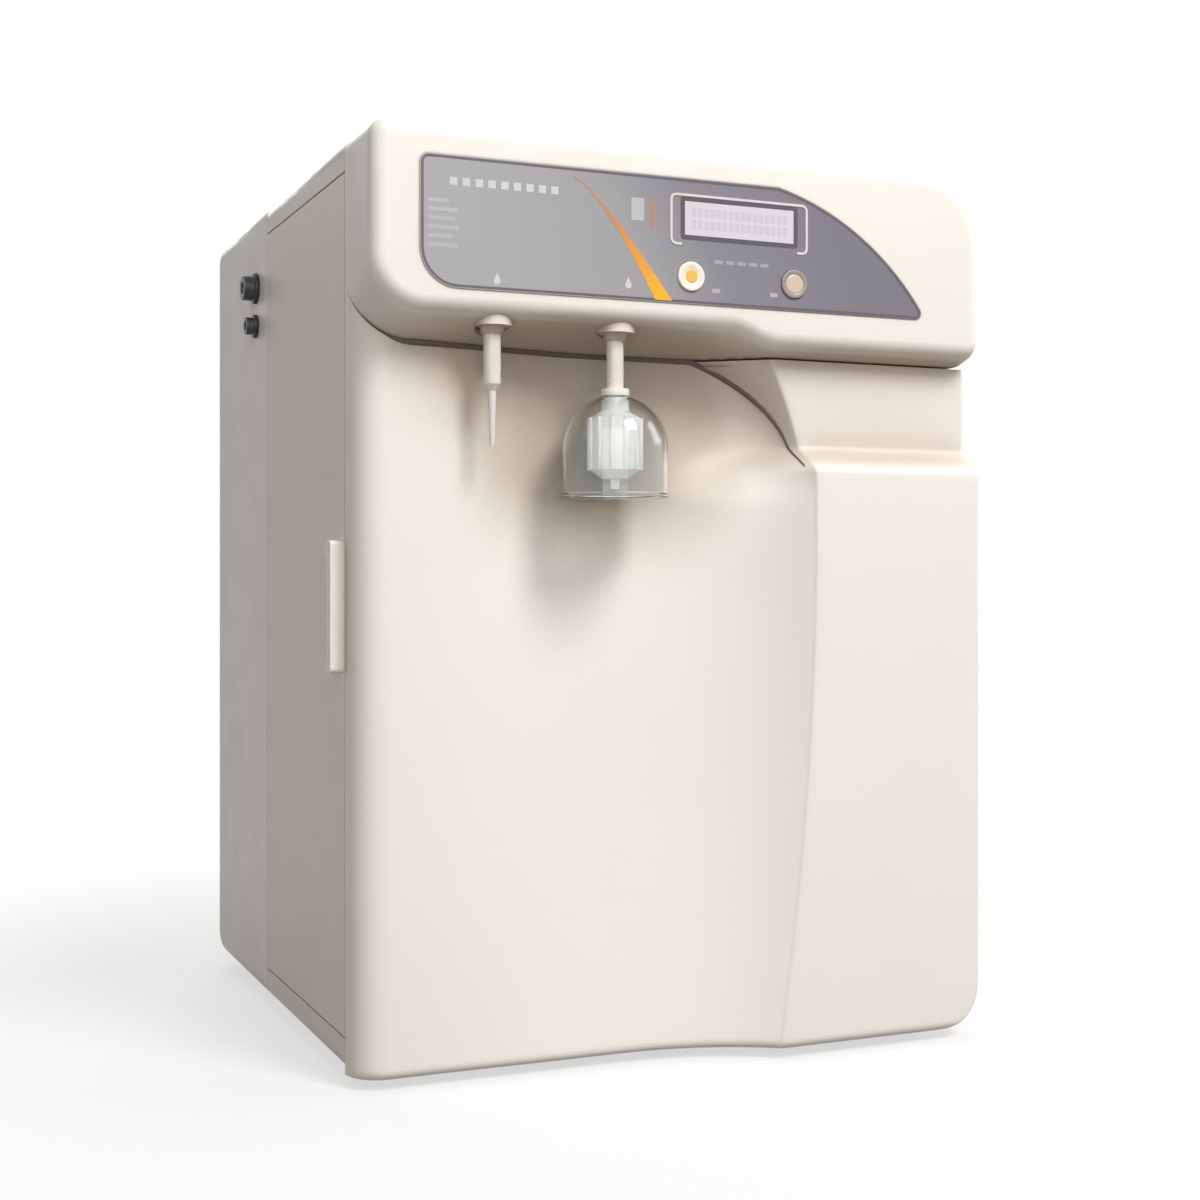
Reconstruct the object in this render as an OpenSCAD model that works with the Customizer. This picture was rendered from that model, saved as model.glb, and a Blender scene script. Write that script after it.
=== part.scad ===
// Bench-top ultrapure water system.
// Inside each sub-part, x runs right from the cabinet's left side, y runs back from the face of
// the head, and z runs up from the bench. placed() then centres the whole footprint on the origin.

/* [Cabinet] */
// Width of the cabinet
body_w = 395; // [380:1:420]
// Depth of the cabinet, from the face of the head to the rear wall
body_d = 425; // [415:1:450]
// Height of the top above the bench
body_h = 540; // [530:1:570]
// Gap under the cabinet, which the feet fill
foot_h = 6; // [4:1:8]
// Wall of the moulded covers
wall = 3; // [2.5:0.5:3.5]
// Sheet metal thickness
sheet = 1.5; // [1:0.25:2]
// Depth of the front mouldings
front_d = 55; // [54:1:60]
// Depth of the rear cover
rear_d = 169; // [160:1:175]
// Seam between neighbouring covers
seam = 1; // [0.5:0.25:1.5]
// Corner radii seen from the front: lower left, lower right, upper right, upper left
corner_r = [10, 28, 45, 10];
// Radius of the rear cover's top and bottom edges
rear_edge_r = 40; // [20:1:45]

/* [Head] */
// Height of the head, from its lower lip to the top
head_h = 105; // [103:1:112]
// How far the lip drops on the right of the arch
lip_step = 9; // [6:1:10]
// Rise from the seam under the head to the lip
lip_rise = 13; // [12.5:0.5:16]
// Radius of the head's lower left corner
head_corner_r = 30; // [24:1:34]
// Rounding round the face of the head
head_edge_r = 9; // [6:0.5:9]

/* [Dispensing bay] */
// Set-back of the lower cover at its left edge
bay_left_d = 30; // [26:1:32]
// Depth of the bay at its deepest
bay_deep_d = 51; // [50:0.5:52]
// Depth of the bay at the foot of the cabinet
bay_foot_d = 28; // [24:1:32]
// Bay's deepest line, from the left side
bay_mid_w = 150; // [145:1:155]
// Crease at its widest, from the left side
crease_w = 277; // [272:1:282]
// How far the crease runs in at the foot
crease_bow = 26; // [20:1:30]
// Set-back of the raised right panel
panel_d = 0.5; // [0.5:0.5:4]
// Depth of the cove under the head
cove_d = 17; // [12:1:20]
// Radius of the front left vertical edge
bay_edge_r = 20; // [16:1:22]
// Radius of the front right vertical edge
panel_edge_r = 4; // [3:0.5:8]

/* [Door] */
// Height of the door pull
pull_h = 76; // [60:1:90]
// How far the pull stands out
pull_out = 8; // [6:0.5:10]
// Hinge pin radius
pin_r = 1.5; // [1.25:0.05:1.6]
// Radial clearance of a turning fit
run_gap = 0.05; // [0.02:0.01:0.08]
// Free gap of moving pieces
gap = 0.3; // [0.2:0.05:0.4]

/* [Control field] */
// Left edge of the control field
field_w0 = 27; // [22:1:32]
// Length of the control field
field_len = 322; // [310:1:330]
// Gap between the lip and the control field
field_up = 13; // [12.5:0.5:15]
// Height of the control field
field_h = 73; // [68:0.5:76]
// Thickness of the control field sheet
field_t = 0.6; // [0.4:0.1:1]
// Sweep radius of the control field's right end
field_sweep_r = 170; // [160:1:180]
// Rounding of the field's right tip
field_tip_r = 4; // [3:0.5:5]
// Display window length
window_w = 72.5; // [68:0.5:76]
// Display window height
window_h = 20; // [18:0.5:22]
// Display window centre, from the field's left end and bottom
window_in = [196.8, 50];
// Button radius
button_r = 8.6; // [7:0.1:9]
// Button travel
button_travel = 1; // [0.5:0.1:1.2]
// Left button centre, from the field's left end and bottom
left_button_in = [164.5, 16];
// Right button centre, from the field's left end and bottom
right_button_in = [233, 16];

/* [Dispensing points] */
// Distance of the spouts behind the face of the head
spout_d = 17; // [16:0.5:18]
// Plain spout, from the left side
plain_spout_w = 75; // [70:1:80]
// Product spout, from the left side
product_spout_w = 151; // [148:1:154]
// Outer radius of a spout
spout_r = 5; // [4:0.25:5.5]
// Radius of the clear bell
bell_r = 31; // [28:0.5:31]
// Height of the clear bell
bell_h = 60; // [54:1:64]
// Drop of the bell's rim below the lip
bell_drop = 100; // [96:1:106]

/* [Ports] */
// Bore radius of a push-in port for 8 mm tube
port_bore_r = 4.1; // [3.1:0.1:4.2]
// Bore radius of the drain port for 6 mm tube
drain_bore_r = 3.1; // [2.6:0.1:3.2]
// Side ports: distance behind the face of the head
side_port_d = 287; // [282:1:292]
// Drop of the feed port below the top
feed_port_drop = 52; // [48:1:56]
// Drop of the drain port below the feed port
drain_port_drop = 26; // [25:1:30]

/* [Inside] */
// Cartridge radius
cartridge_r = 34; // [30:0.5:36]
// Cartridge length
cartridge_h = 320; // [300:1:330]
// Reverse osmosis housing radius
ro_r = 32; // [28:0.5:33]
// Reverse osmosis housing length
ro_h = 250; // [240:1:252]
// Ultraviolet chamber radius
uv_r = 25; // [22:0.5:26]
// Ultraviolet chamber length
uv_h = 240; // [230:1:242]
// Booster pump motor radius
motor_r = 30; // [26:0.5:32]
// Fan size
fan_size = 80; // [76:1:84]
// Fan depth
fan_t = 25; // [20:1:26]

/* [Hidden] */
$fn = 64;

// Placing
port_out = 10;
bell_rim = 0.8;
bell_proud = bell_r + bell_rim - spout_d;
rear_proud = 10;
left_x = -(body_w - port_out) / 2;
front_y = -(body_d + rear_proud - bell_proud) / 2;

// Derived cabinet values
lip_z = body_h - head_h;
neck_z = lip_z - lip_rise;
field_at = [field_w0, lip_z + field_up];
window_at = field_at + window_in;
left_button_at = field_at + left_button_in;
right_button_at = field_at + right_button_in;
bell_z = lip_z - bell_drop;
feed_port_z = body_h - feed_port_drop;
drain_port_z = feed_port_z - drain_port_drop;
chassis_top_z = body_h - 40;
base_z = foot_h;
case_d0 = front_d + 1.5;
rear_d0 = body_d - rear_d;
case_d1 = rear_d0 - 1.5;
case_len = case_d1 - case_d0;
pan_flange_h = 20;
door_z0 = base_z + pan_flange_h + seam;
door_z1 = body_h - pan_flange_h - seam;
floor_z = base_z + sheet;
cover_top_z = neck_z - seam;
post_w0 = 12;
part_w = 203;
part_w1 = part_w + sheet;

// Overshoot of a cut, so that it leaves no skin
over = 1;

// ---------------------------------------------------------------- helpers

module placed() {
    translate([left_x, front_y, 0]) children();
}

// Extrudes an x-z outline along y
module along_d(d0, len) {
    translate([0, d0 + len, 0]) rotate([90, 0, 0]) linear_extrude(len) children();
}

// Extrudes a y-z outline along x
module along_w(w0, len) {
    translate([w0, 0, 0]) rotate([90, 0, 90]) linear_extrude(len) children();
}

module block(w, d, z) {
    translate([w[0], d[0], z[0]]) cube([w[1] - w[0], d[1] - d[0], z[1] - z[0]]);
}

// Takes a rounded corner out of a square one
module corner_cut(x, y, sx, sy, r) {
    if (r > 0) {
        difference() {
            translate([sx > 0 ? x - 1 : x - r, sy > 0 ? y - 1 : y - r]) square(r + 1);
            translate([x + sx * r, y + sy * r]) circle(r);
        }
    }
}

// Rectangle with its own radius at each corner: lower left, lower right, upper right, upper left
module rounded(x0, y0, x1, y1, r) {
    difference() {
        translate([x0, y0]) square([x1 - x0, y1 - y0]);
        corner_cut(x0, y0, 1, 1, r[0]);
        corner_cut(x1, y0, -1, 1, r[1]);
        corner_cut(x1, y1, -1, -1, r[2]);
        corner_cut(x0, y1, 1, -1, r[3]);
    }
}

// Outline of the cabinet seen from the front, set in by some amount
module section(inset) {
    r = [for (c = corner_r) max(c - inset, 0.5)];
    rounded(inset, base_z + inset, body_w - inset, body_h - inset, r);
}

// Cylinder along y, from y = d0
module rod_d(at, d0, len, r) {
    translate([at[0], d0 + len, at[1]]) rotate([90, 0, 0]) cylinder(h = len, r = r);
}

// Cylinder along x, from x = w0
module rod_w(at, w0, len, r) {
    translate([w0, at[0], at[1]]) rotate([0, 90, 0]) cylinder(h = len, r = r);
}

module rod_z(at, z0, len, r) {
    translate([at[0], at[1], z0]) cylinder(h = len, r = r);
}

module lift(z) {
    translate([0, 0, z]) children();
}

function clamp(v, a, b) = min(max(v, a), b);
function ease(t) = 0.5 - 0.5 * cos(180 * clamp(t, 0, 1));
function mix(a, b, t) = a + (b - a) * t;
function unit(v) = v / norm(v);
function around(middle, half) = [middle - half, middle + half];

// ---------------------------------------------------------------- shape of the front

crease_top_z = neck_z - 102;
shoulder_z = neck_z - 77;
cove_z0 = neck_z - 70;
cove_z1 = neck_z - 52;
arch_z0 = neck_z - 92;
arch_over = 8;
arch_power = 2.5;
arch_lean = 25.5;
arch_lean_h = 80;
dish_power = 2.5;
dish_steep = 6;
dish_rise = 70;
crest_w = 8;
lip_round = 2.5;
foot_round = 6;

// Crease between the bay and the raised panel; above the shoulder it bends in as the arch
function outer_w(z) =
    z < shoulder_z
    ? crease_w - crease_bow * pow((crease_top_z - min(z, crease_top_z)) / crease_top_z, 2)
    : crease_w - arch_lean * pow((z - shoulder_z) / arch_lean_h, 1.6);

// Inner edge of the arch, a superellipse round the bay's head
function arch_w(z) =
    let (t = clamp((z - arch_z0) / (neck_z + arch_over - arch_z0), 0, 0.985))
    bay_mid_w + (crease_w - 2 - bay_mid_w) * pow(1 - pow(t, arch_power), 1 / arch_power);
function inner_w(z) = min(outer_w(z) - 2, arch_w(z));

function panel_depth(z) = panel_d + cove_d * ease((z - cove_z0) / (cove_z1 - cove_z0));
function bay_depth(z) =
    mix(bay_foot_d, bay_deep_d, 1 - pow(1 - clamp(z / arch_z0, 0, 1), 2));
function edge_depth(z) = panel_depth(z) + lip_round;

// Depth of the bay's own surface; under the arch its right side turns up late and steeply
function dish(w, z) =
    w < bay_mid_w
    ? mix(bay_left_d, bay_depth(z), ease((w - bay_edge_r) / (bay_mid_w - bay_edge_r)))
    : mix(bay_depth(z), edge_depth(z),
          pow((w - bay_mid_w) / (max(outer_w(z), crease_w - crease_bow) - bay_mid_w),
              dish_power + dish_steep * ease((z - arch_z0) / dish_rise)));

// How far a rounded edge of radius r falls back at distance s from the side
function fall(s, r) = s >= r ? 0 : r - sqrt(max(r * r - (r - s) * (r - s), 0));

// Right edge of the cabinet at height z, with its lower corner
function right_w(z) = body_w - fall(z - base_z, corner_r[1]);

function face_depth(w, z) =
    let (wi = inner_w(z), wo = outer_w(z))
    w <= wi ? dish(w, z)
    : w <= wo ? mix(dish(wi, z), edge_depth(z), (w - wi) / (wo - wi))
    : panel_depth(z) + fall(w - wo, crest_w) * lip_round / crest_w;

function front_depth(w, z) =
    face_depth(w, z) + fall(w, bay_edge_r) + fall(right_w(z) - w, panel_edge_r)
    + fall(z - base_z, foot_round);

// Rise of the neck seam round the head's lower left corner
function corner_rise(w) = fall(w, head_corner_r);

// Heights of the front mesh's rows
row_z = concat(
    [for (s = [0, 0.8, 2.2, 4, 6, 12, 20, 28]) base_z + s],
    [for (i = [1:9]) mix(base_z + 28, arch_z0, i / 9)],
    [for (i = [1:2]) mix(arch_z0, cove_z0, i / 2)],
    [for (i = [1:6]) mix(cove_z0, cove_z1, i / 6)],
    [for (i = [1:9]) mix(cove_z1, cover_top_z, 1 - pow(1 - i / 9, 1.3))]);

// Columns of the front mesh at height z
function row_w(z) =
    let (wi = inner_w(z), wo = outer_w(z), wr = right_w(z))
    concat(
        [for (s = [0, 0.7, 2.6, 6, 11, bay_edge_r]) s],
        [for (i = [1:6]) mix(bay_edge_r, bay_mid_w, i / 6)],
        [for (i = [1:8]) mix(bay_mid_w, wi, i / 8)],
        [wo, wo + 0.3 * crest_w, wo + crest_w],
        [for (i = [1:3]) mix(wo + crest_w, wr - panel_edge_r, i / 3)],
        [for (s = [0.6, 0.3, 0.12, 0.03, 0]) wr - s * panel_edge_r]);

// Moves an inner wall in from the border over a short band, and leaves the middle where it is
function drawn_in(v, lo, hi, t, band) =
    v - lo < band ? lo + t + (v - lo) * (band - t) / band
    : hi - v < band ? hi - t - (hi - v) * (band - t) / band
    : v;

function rim_z(w, z) = z + corner_rise(w) * clamp((z - arch_z0) / (cover_top_z - arch_z0), 0, 1);

// One side of the moulding as rows of points, with a border row and column at the rear rim
function cover_rows(t) =
    let (nz = len(row_z) - 1)
    [for (j = [-1:nz + 1])
        let (z = row_z[clamp(j, 0, nz)], ws = row_w(z), nw = len(ws) - 1)
        [for (i = [-1:nw + 1])
            let (w = ws[clamp(i, 0, nw)],
                 edge = j < 0 || j > nz || i < 0 || i > nw,
                 wt = t == 0 ? w : drawn_in(w, 0, right_w(z), t, 18),
                 zt = t == 0 ? z : drawn_in(z, base_z, cover_top_z, t, 22))
            [wt, edge ? front_d : min(front_depth(w, z) + t, front_d - 0.6), rim_z(wt, zt)]]];

function grid_faces(rows, cols, base, flip) =
    [for (j = [0:rows - 2]) for (i = [0:cols - 2])
        let (a = base + j * cols + i, b = a + 1, c = a + cols, d = c + 1)
        each flip ? [[a, b, d], [a, d, c]] : [[a, d, b], [a, c, d]]];

function border(rows, cols) = concat(
    [for (i = [0:cols - 1]) i],
    [for (j = [1:rows - 1]) j * cols + cols - 1],
    [for (i = [cols - 2:-1:0]) (rows - 1) * cols + i],
    [for (j = [rows - 2:-1:1]) j * cols]);

module cover_shell() {
    outer = cover_rows(0);
    inner = cover_rows(wall);
    rows = len(outer);
    cols = len(outer[0]);
    n = rows * cols;
    rim = border(rows, cols);
    m = len(rim);
    points = concat([for (r = outer) each r], [for (r = inner) each r]);
    rim_faces = [for (k = [0:m - 1])
        let (a = rim[k], b = rim[(k + 1) % m])
        each [[a, b, b + n], [a, b + n, a + n]]];
    polyhedron(points,
        concat(grid_faces(rows, cols, 0, false), grid_faces(rows, cols, n, true), rim_faces));
}

// ---------------------------------------------------------------- shape of the head

step_w0 = 220;
step_w1 = 250;

// Height of the lip along the head
function lip_at(w) = lip_z - lip_step * ease((w - step_w0) / (step_w1 - step_w0));

// The underside falls from the lip to the neck by the time it meets the bay's surface
function neck_drop(w, d) =
    (lip_at(w) - neck_z)
    * clamp((d - head_edge_r * 0.6) / (front_depth(clamp(w, 6, body_w - 16), cover_top_z)
        - head_edge_r * 0.6), 0, 1);

function arc_points(cx, cz, r, a0, a1, n) =
    [for (k = [0:n]) let (a = mix(a0, a1, k / n)) [cx + r * cos(a), cz + r * sin(a)]];

// Outline of the head at depth d, set in by e
function head_outline(e, d) =
    let (r = [head_corner_r, 10, corner_r[2], corner_r[3]],
         low = [for (i = [0:15]) let (w = mix(r[0], body_w - r[1], i / 15)) [w, lip_at(w) + e]],
         path = concat(
             arc_points(r[0], lip_z + r[0], r[0] - e, 180, 264, 7),
             low,
             arc_points(body_w - r[1], lip_at(body_w) + r[1], r[1] - e, 282, 360, 4)),
         fallen = [for (p = path) [p[0], p[1] - neck_drop(p[0], d)]])
    concat(fallen,
        arc_points(body_w - r[2], body_h - r[2], r[2] - e, 0, 90, 8),
        arc_points(r[3], body_h - r[3], r[3] - e, 90, 180, 4));

module head_shell() {
    rounding = [for (k = [0:5]) let (a = 18 * k) [1 - sin(a), 1 - cos(a)]];
    depths = [14, 19, 25, 31, 37, 43, 49, front_d];
    inner_r = head_edge_r - wall;
    levels = concat(
        [for (q = rounding) head_edge_r * q],
        [for (d = depths) [0, d]],
        [for (k = [len(depths) - 1:-1:0]) [wall, depths[k]]],
        [for (k = [5:-1:0]) [wall, wall] + inner_r * rounding[k]]);
    loops = [for (l = levels) [for (p = head_outline(l[0], l[1])) [p[0], l[1], p[1]]]];
    n = len(loops[0]);
    m = len(loops);
    middle = [body_w / 2, (lip_z + body_h) / 2];
    points = concat([for (l = loops) each l],
        [[middle[0], 0, middle[1]], [middle[0], wall, middle[1]]]);
    sides = [for (j = [0:m - 2]) for (i = [0:n - 1])
        let (a = j * n + i, b = j * n + (i + 1) % n)
        each [[a, b + n, b], [a, a + n, b + n]]];
    front = [for (i = [0:n - 1]) [i, (i + 1) % n, m * n]];
    back = [for (i = [0:n - 1]) [(m - 1) * n + (i + 1) % n, (m - 1) * n + i, m * n + 1]];
    polyhedron(points, [for (f = concat(sides, front, back)) [f[2], f[1], f[0]]]);
}

// ---------------------------------------------------------------- outer covers

fitting_r = 8;
flange_r = 9.8;
flange_t = 2.5;
collar_r = 12;
boss_z0 = lip_z - 2;
boss_h = 10;
flange_room = 8;
spout_nut_r = 11;
cover_boss_r = 5;
screw_r = 2;
screw_hole_r = 1.6;
cover_hole_h = 8;
screw_len = 12;
screw_free_r = screw_r + 0.2;
head_boss_at = [[30, body_h - 35], [160, body_h - 18], [body_w - 65, body_h - 50],
    [body_w - 35, lip_z + 12]];
cover_boss_at = [[40, neck_z - 42], [40, 60], [body_w - 65, cove_z0 - 22], [body_w - 65, 60]];

module head_cover() {
    color("ivory") placed() difference() {
        union() {
            head_shell();
            for (w = [plain_spout_w, product_spout_w]) {
                rod_z([w, spout_d], boss_z0 - flange_t, boss_h + flange_t, collar_r);
            }
            for (p = head_boss_at) rod_d(p, wall - 1, front_d - wall + 1, cover_boss_r);
        }
        for (w = [plain_spout_w, product_spout_w]) {
            rod_z([w, spout_d], boss_z0 - over, boss_h + 4 * over, fitting_r + gap);
            rod_z([w, spout_d], boss_z0 - flange_room, flange_room, flange_r + gap);
            rod_z([w, spout_d], boss_z0 + boss_h, flange_room, spout_nut_r + gap);
        }
        for (p = head_boss_at) rod_d(p, front_d - screw_len, screw_len + 1, screw_hole_r);
        block([window_at[0] - window_w / 2, window_at[0] + window_w / 2], [-1, wall + 1],
            [window_at[1] - window_h / 2, window_at[1] + window_h / 2]);
        for (p = [left_button_at, right_button_at]) rod_d(p, -1, wall + 2, button_r + gap);
    }
}

module lower_cover() {
    color("ivory") placed() difference() {
        union() {
            cover_shell();
            for (p = cover_boss_at) {
                d0 = front_depth(p[0], p[1]) + wall / 2;
                rod_d(p, d0, front_d - d0, cover_boss_r);
            }
        }
        for (p = cover_boss_at) rod_d(p, front_d - cover_hole_h, cover_hole_h + over, screw_hole_r);
    }
}

module section_ring(t) {
    difference() {
        section(0);
        section(t);
    }
}

module wrap_cover() {
    color("ivory") placed() along_d(case_d0, case_len) intersection() {
        section_ring(sheet);
        union() {
            translate([-1, body_h - pan_flange_h]) square([body_w + 2, pan_flange_h + 1]);
            translate([body_w / 2, base_z + corner_r[1] + seam]) square([body_w, body_h]);
        }
    }
}

pan_rear_d = body_d - rear_edge_r - 2;

module base_pan() {
    color("ivory") placed() {
        difference() {
            union() {
                along_d(case_d0, case_len) intersection() {
                    section_ring(sheet);
                    union() {
                        translate([-1, -1]) square([body_w / 2 + 2, base_z + pan_flange_h + 1]);
                        translate([body_w / 2, -1]) square([body_w, base_z + corner_r[1] + 1]);
                    }
                }
                block([post_w0, body_w - corner_r[1]], [case_d1 - 1, pan_rear_d],
                    [base_z, floor_z]);
            }
            for (p = feet_at) rod_z(p, base_z - 1, sheet + 2, screw_free_r);
        }
    }
}

feet_r = 14;
feet_taper = 2;
feet_lock_h = 1.5;
feet_lock_r = 4;
feet_at = [for (w = [52, body_w - 60]) for (d = [case_d0 + 26, pan_rear_d - 24]) [w, d]];

module rubber_feet() {
    color("dimgray") placed() for (p = feet_at) {
        translate([p[0], p[1], 0]) {
            cylinder(h = foot_h, r1 = feet_r - feet_taper, r2 = feet_r);
            translate([0, 0, foot_h]) cylinder(h = sheet + 2 * feet_lock_h, r = screw_r);
            translate([0, 0, foot_h + sheet]) cylinder(h = feet_lock_h, r = feet_lock_r);
        }
    }
}

rear_side_r = 10;
fan_at = [body_w - 95, body_h - 120];
inlet_at = [body_w - 77, 84];
inlet_w = 58;
inlet_h = 48;
tank_port_at = [70, 70];
vent_z0 = body_h - 240;
vent_w = [60, 180];
vent_h = 4;
vent_pitch = 12;
fan_hole = fan_size / 2 - 4.25;

module rear_solid(inset) {
    intersection() {
        along_d(rear_d0 - (inset > 0 ? 1 : 0), rear_d - inset + (inset > 0 ? 1 : 0)) section(inset);
        along_w(0, body_w) rounded(rear_d0 - 2, base_z + inset, body_d - inset, body_h - inset,
            [0, rear_edge_r - inset, rear_edge_r - inset, 0]);
        linear_extrude(body_h) rounded(inset, rear_d0 - 2, body_w - inset, body_d - inset,
            [0, 0, rear_side_r - inset, rear_side_r - inset]);
    }
}

module rear_cover() {
    color("ivory") placed() difference() {
        rear_solid(0);
        rear_solid(wall);
        block([post_w0 - gap, body_w - corner_r[1] + gap], [rear_d0 - 1, pan_rear_d + gap],
            [base_z - 1, base_z + wall + 1]);
        rod_d(fan_at, body_d - wall - 1, wall + 2, fan_size / 2 - 3);
        for (s = [-1, 1]) for (t = [-1, 1]) {
            rod_d(fan_at + fan_hole * [s, t], body_d - wall - 1, wall + 2, screw_free_r);
        }
        block(around(inlet_at[0], inlet_w / 2 - 4), [body_d - wall - 1, body_d + 1],
            around(inlet_at[1], inlet_h / 2 - 4));
        rod_d(tank_port_at, body_d - wall - 1, wall + 2, port_thread_r + gap);
        rod_w([side_port_d, feed_port_z], -1, wall + 2, port_thread_r + gap);
        rod_w([side_port_d, drain_port_z], -1, wall + 2, drain_thread_r + gap);
        for (k = [0:7]) {
            z = vent_z0 + vent_pitch * k;
            block(vent_w, [body_d - wall - 1, body_d + 1], [z, z + vent_h]);
        }
    }
}

// ---------------------------------------------------------------- door

door_inset = 10;
hinge_w = 5;
hinge_d = case_d1 - 6;
knuckle_r = 3;
leaf_t = 1.5;
hinge_z = [110, body_h - 110];
knuckle_h = 10;
leaf_reach = 26;
frame_leaf = 14;
post_flange = 22;
post_side = 18;
pull_d0 = case_d0 + 1;
pull_t = 13;
pull_z0 = 234;
pull_corner_r = 3;
pull_scoop_r = 10;
pull_end = 8;

module side_door() {
    color("ivory") placed() {
        difference() {
            union() {
                block([0, sheet], [case_d0, case_d1], [door_z0, door_z1]);
                block([sheet / 2, door_inset], [case_d0, case_d0 + sheet], [door_z0, door_z1]);
                block([sheet / 2, door_inset], [case_d0, hinge_d - knuckle_r],
                    [door_z0, door_z0 + sheet]);
                block([sheet / 2, door_inset], [case_d0, hinge_d - knuckle_r],
                    [door_z1 - sheet, door_z1]);
            }
            for (z = around(pull_z0 + pull_h / 2, pull_h / 4)) {
                rod_w([pull_d0 + pull_t / 2, z], -1, sheet + 2, screw_r);
            }
        }
    }
}

module door_pull() {
    color("ivory") placed() {
        difference() {
            translate([0, pull_d0, 0]) {
                along_w(-pull_out, pull_out) rounded(0, pull_z0, pull_t, pull_z0 + pull_h,
                    pull_corner_r * [1, 1, 1, 1]);
            }
            translate([-pull_out, pull_d0 + pull_t + 0.6 * pull_scoop_r, pull_z0 + pull_end]) {
                cylinder(h = pull_h - 2 * pull_end, r = pull_scoop_r);
            }
        }
        for (z = around(pull_z0 + pull_h / 2, pull_h / 4)) {
            rod_w([pull_d0 + pull_t / 2, z], 0, sheet + 2, screw_r - 0.1);
        }
    }
}

module knuckle(z, h) {
    difference() {
        rod_z([hinge_w, hinge_d], z, h, knuckle_r);
        rod_z([hinge_w, hinge_d], z - 1, h + 2, pin_r + run_gap);
    }
}

module door_hinge_leaves() {
    color("gray") placed() for (z = hinge_z) {
        for (s = [0, 1]) {
            z0 = z + s * 2 * (knuckle_h + gap);
            knuckle(z0, knuckle_h);
            block([sheet, sheet + leaf_t], [hinge_d - leaf_reach, hinge_d - 1.5], [z0, z0 + knuckle_h]);
        }
        block([sheet, sheet + leaf_t], [hinge_d - leaf_reach, hinge_d - 4],
            [z, z + 3 * knuckle_h + 2 * gap]);
    }
}

module frame_hinge_leaves() {
    color("gray") placed() for (z = hinge_z) {
        z0 = z + knuckle_h + gap;
        difference() {
            union() {
                rod_z([hinge_w, hinge_d], z0, knuckle_h, knuckle_r);
                block([hinge_w, post_w0 + frame_leaf], [hinge_d - leaf_t / 2, hinge_d + leaf_t / 2],
                    [z0, z0 + knuckle_h]);
                block([post_w0, post_w0 + frame_leaf], [hinge_d - leaf_t / 2, hinge_d + leaf_t / 2],
                    [z0 - knuckle_h, z0 + 2 * knuckle_h]);
            }
            rod_z([hinge_w, hinge_d], z0 - 1, knuckle_h + 2, pin_r);
        }
    }
}

module hinge_pins() {
    color("silver") placed() for (z = hinge_z) {
        rod_z([hinge_w, hinge_d], z - 1, 3 * knuckle_h + 2 * gap + 2, pin_r);
    }
}

module hinge_post() {
    d0 = hinge_d + leaf_t / 2;
    w1 = post_w0 + post_flange;
    color("silver") placed() {
        block([post_w0, w1], [d0, d0 + sheet], [floor_z, chassis_top_z]);
        block([w1 - sheet, w1], [d0 - post_side, d0 + sheet], [floor_z, chassis_top_z]);
        block([post_w0, w1], [d0 - post_side, d0 + sheet], [floor_z, floor_z + sheet]);
    }
}

magnet_z = [130, body_h - 140];

magnet_d = 13.4;
magnet_h = 24;

module door_magnets() {
    d0 = case_d0 + sheet + 2 * gap;
    color("saddlebrown") placed() for (z = magnet_z) {
        block([post_w0 - 8, post_w0], [d0, d0 + magnet_d], [z, z + magnet_h]);
    }
}

// ---------------------------------------------------------------- chassis

flange_d = [front_d + sheet / 2, front_d + 16];
foot_flange = 16;
left_flange_d = front_d + 22;
top_flange_w = [60, body_w - 65];
right_flange_z = [80, body_h - 80];
spout_window = [[40, 190], [lip_z + 3, chassis_top_z]];
display_opening = [[215, 300], [lip_z + 20, body_h - 15]];

module front_plate() {
    plate_d = [front_d, front_d + sheet];
    flange_z = body_h - sheet - gap;
    flange_w = body_w - sheet - gap;
    color("silver") placed() {
        difference() {
            along_d(front_d, sheet) intersection() {
                section(wall + gap);
                translate([post_w0, 0]) square([body_w, body_h]);
            }
            for (q = [spout_window, display_opening]) {
                block(q[0], [front_d - over, front_d + sheet + over], q[1]);
            }
            for (p = concat(head_boss_at, cover_boss_at)) {
                rod_d(p, front_d - over, sheet + 2 * over, screw_free_r);
            }
        }
        block([post_w0, post_w0 + sheet], [flange_d[0], left_flange_d], [rack_z, chassis_top_z]);
        block(top_flange_w, flange_d, [flange_z - sheet, flange_z]);
        block(top_flange_w, around(flange_d[0], sheet / 2), [body_h - wall - 2, flange_z]);
        block([flange_w - sheet, flange_w], flange_d, right_flange_z);
        block(around(body_w - wall, sheet / 2 + gap), around(flange_d[0], sheet / 2),
            right_flange_z);
        for (w = [[post_w0 + 4, part_w - 1], [part_w1 + foot_flange + 1, body_w - 40]]) {
            block(w, flange_d, [floor_z, floor_z + sheet]);
            block(w, plate_d, [floor_z, base_z + wall + 2]);
        }
    }
}

part_hole_r = 12;
part_hole_d = [250, 330];

module partition() {
    rear = body_d - rear_edge_r - 6;
    color("silver") placed() {
        difference() {
            block([part_w, part_w1], [front_d + sheet, rear], [floor_z, chassis_top_z]);
            for (d = part_hole_d) {
                rod_w([d, body_h - 85], part_w - over, sheet + 2 * over, part_hole_r);
            }
        }
        block([part_w, part_w1 + foot_flange], [front_d + sheet + 6, pan_rear_d - 6],
            [floor_z, floor_z + sheet]);
    }
}

// ---------------------------------------------------------------- control field

field_corner_r = 22;
field_top_r = 5;
field_sweep_reach = 138.3;
field_sweep_drop = 92.4;

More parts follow.
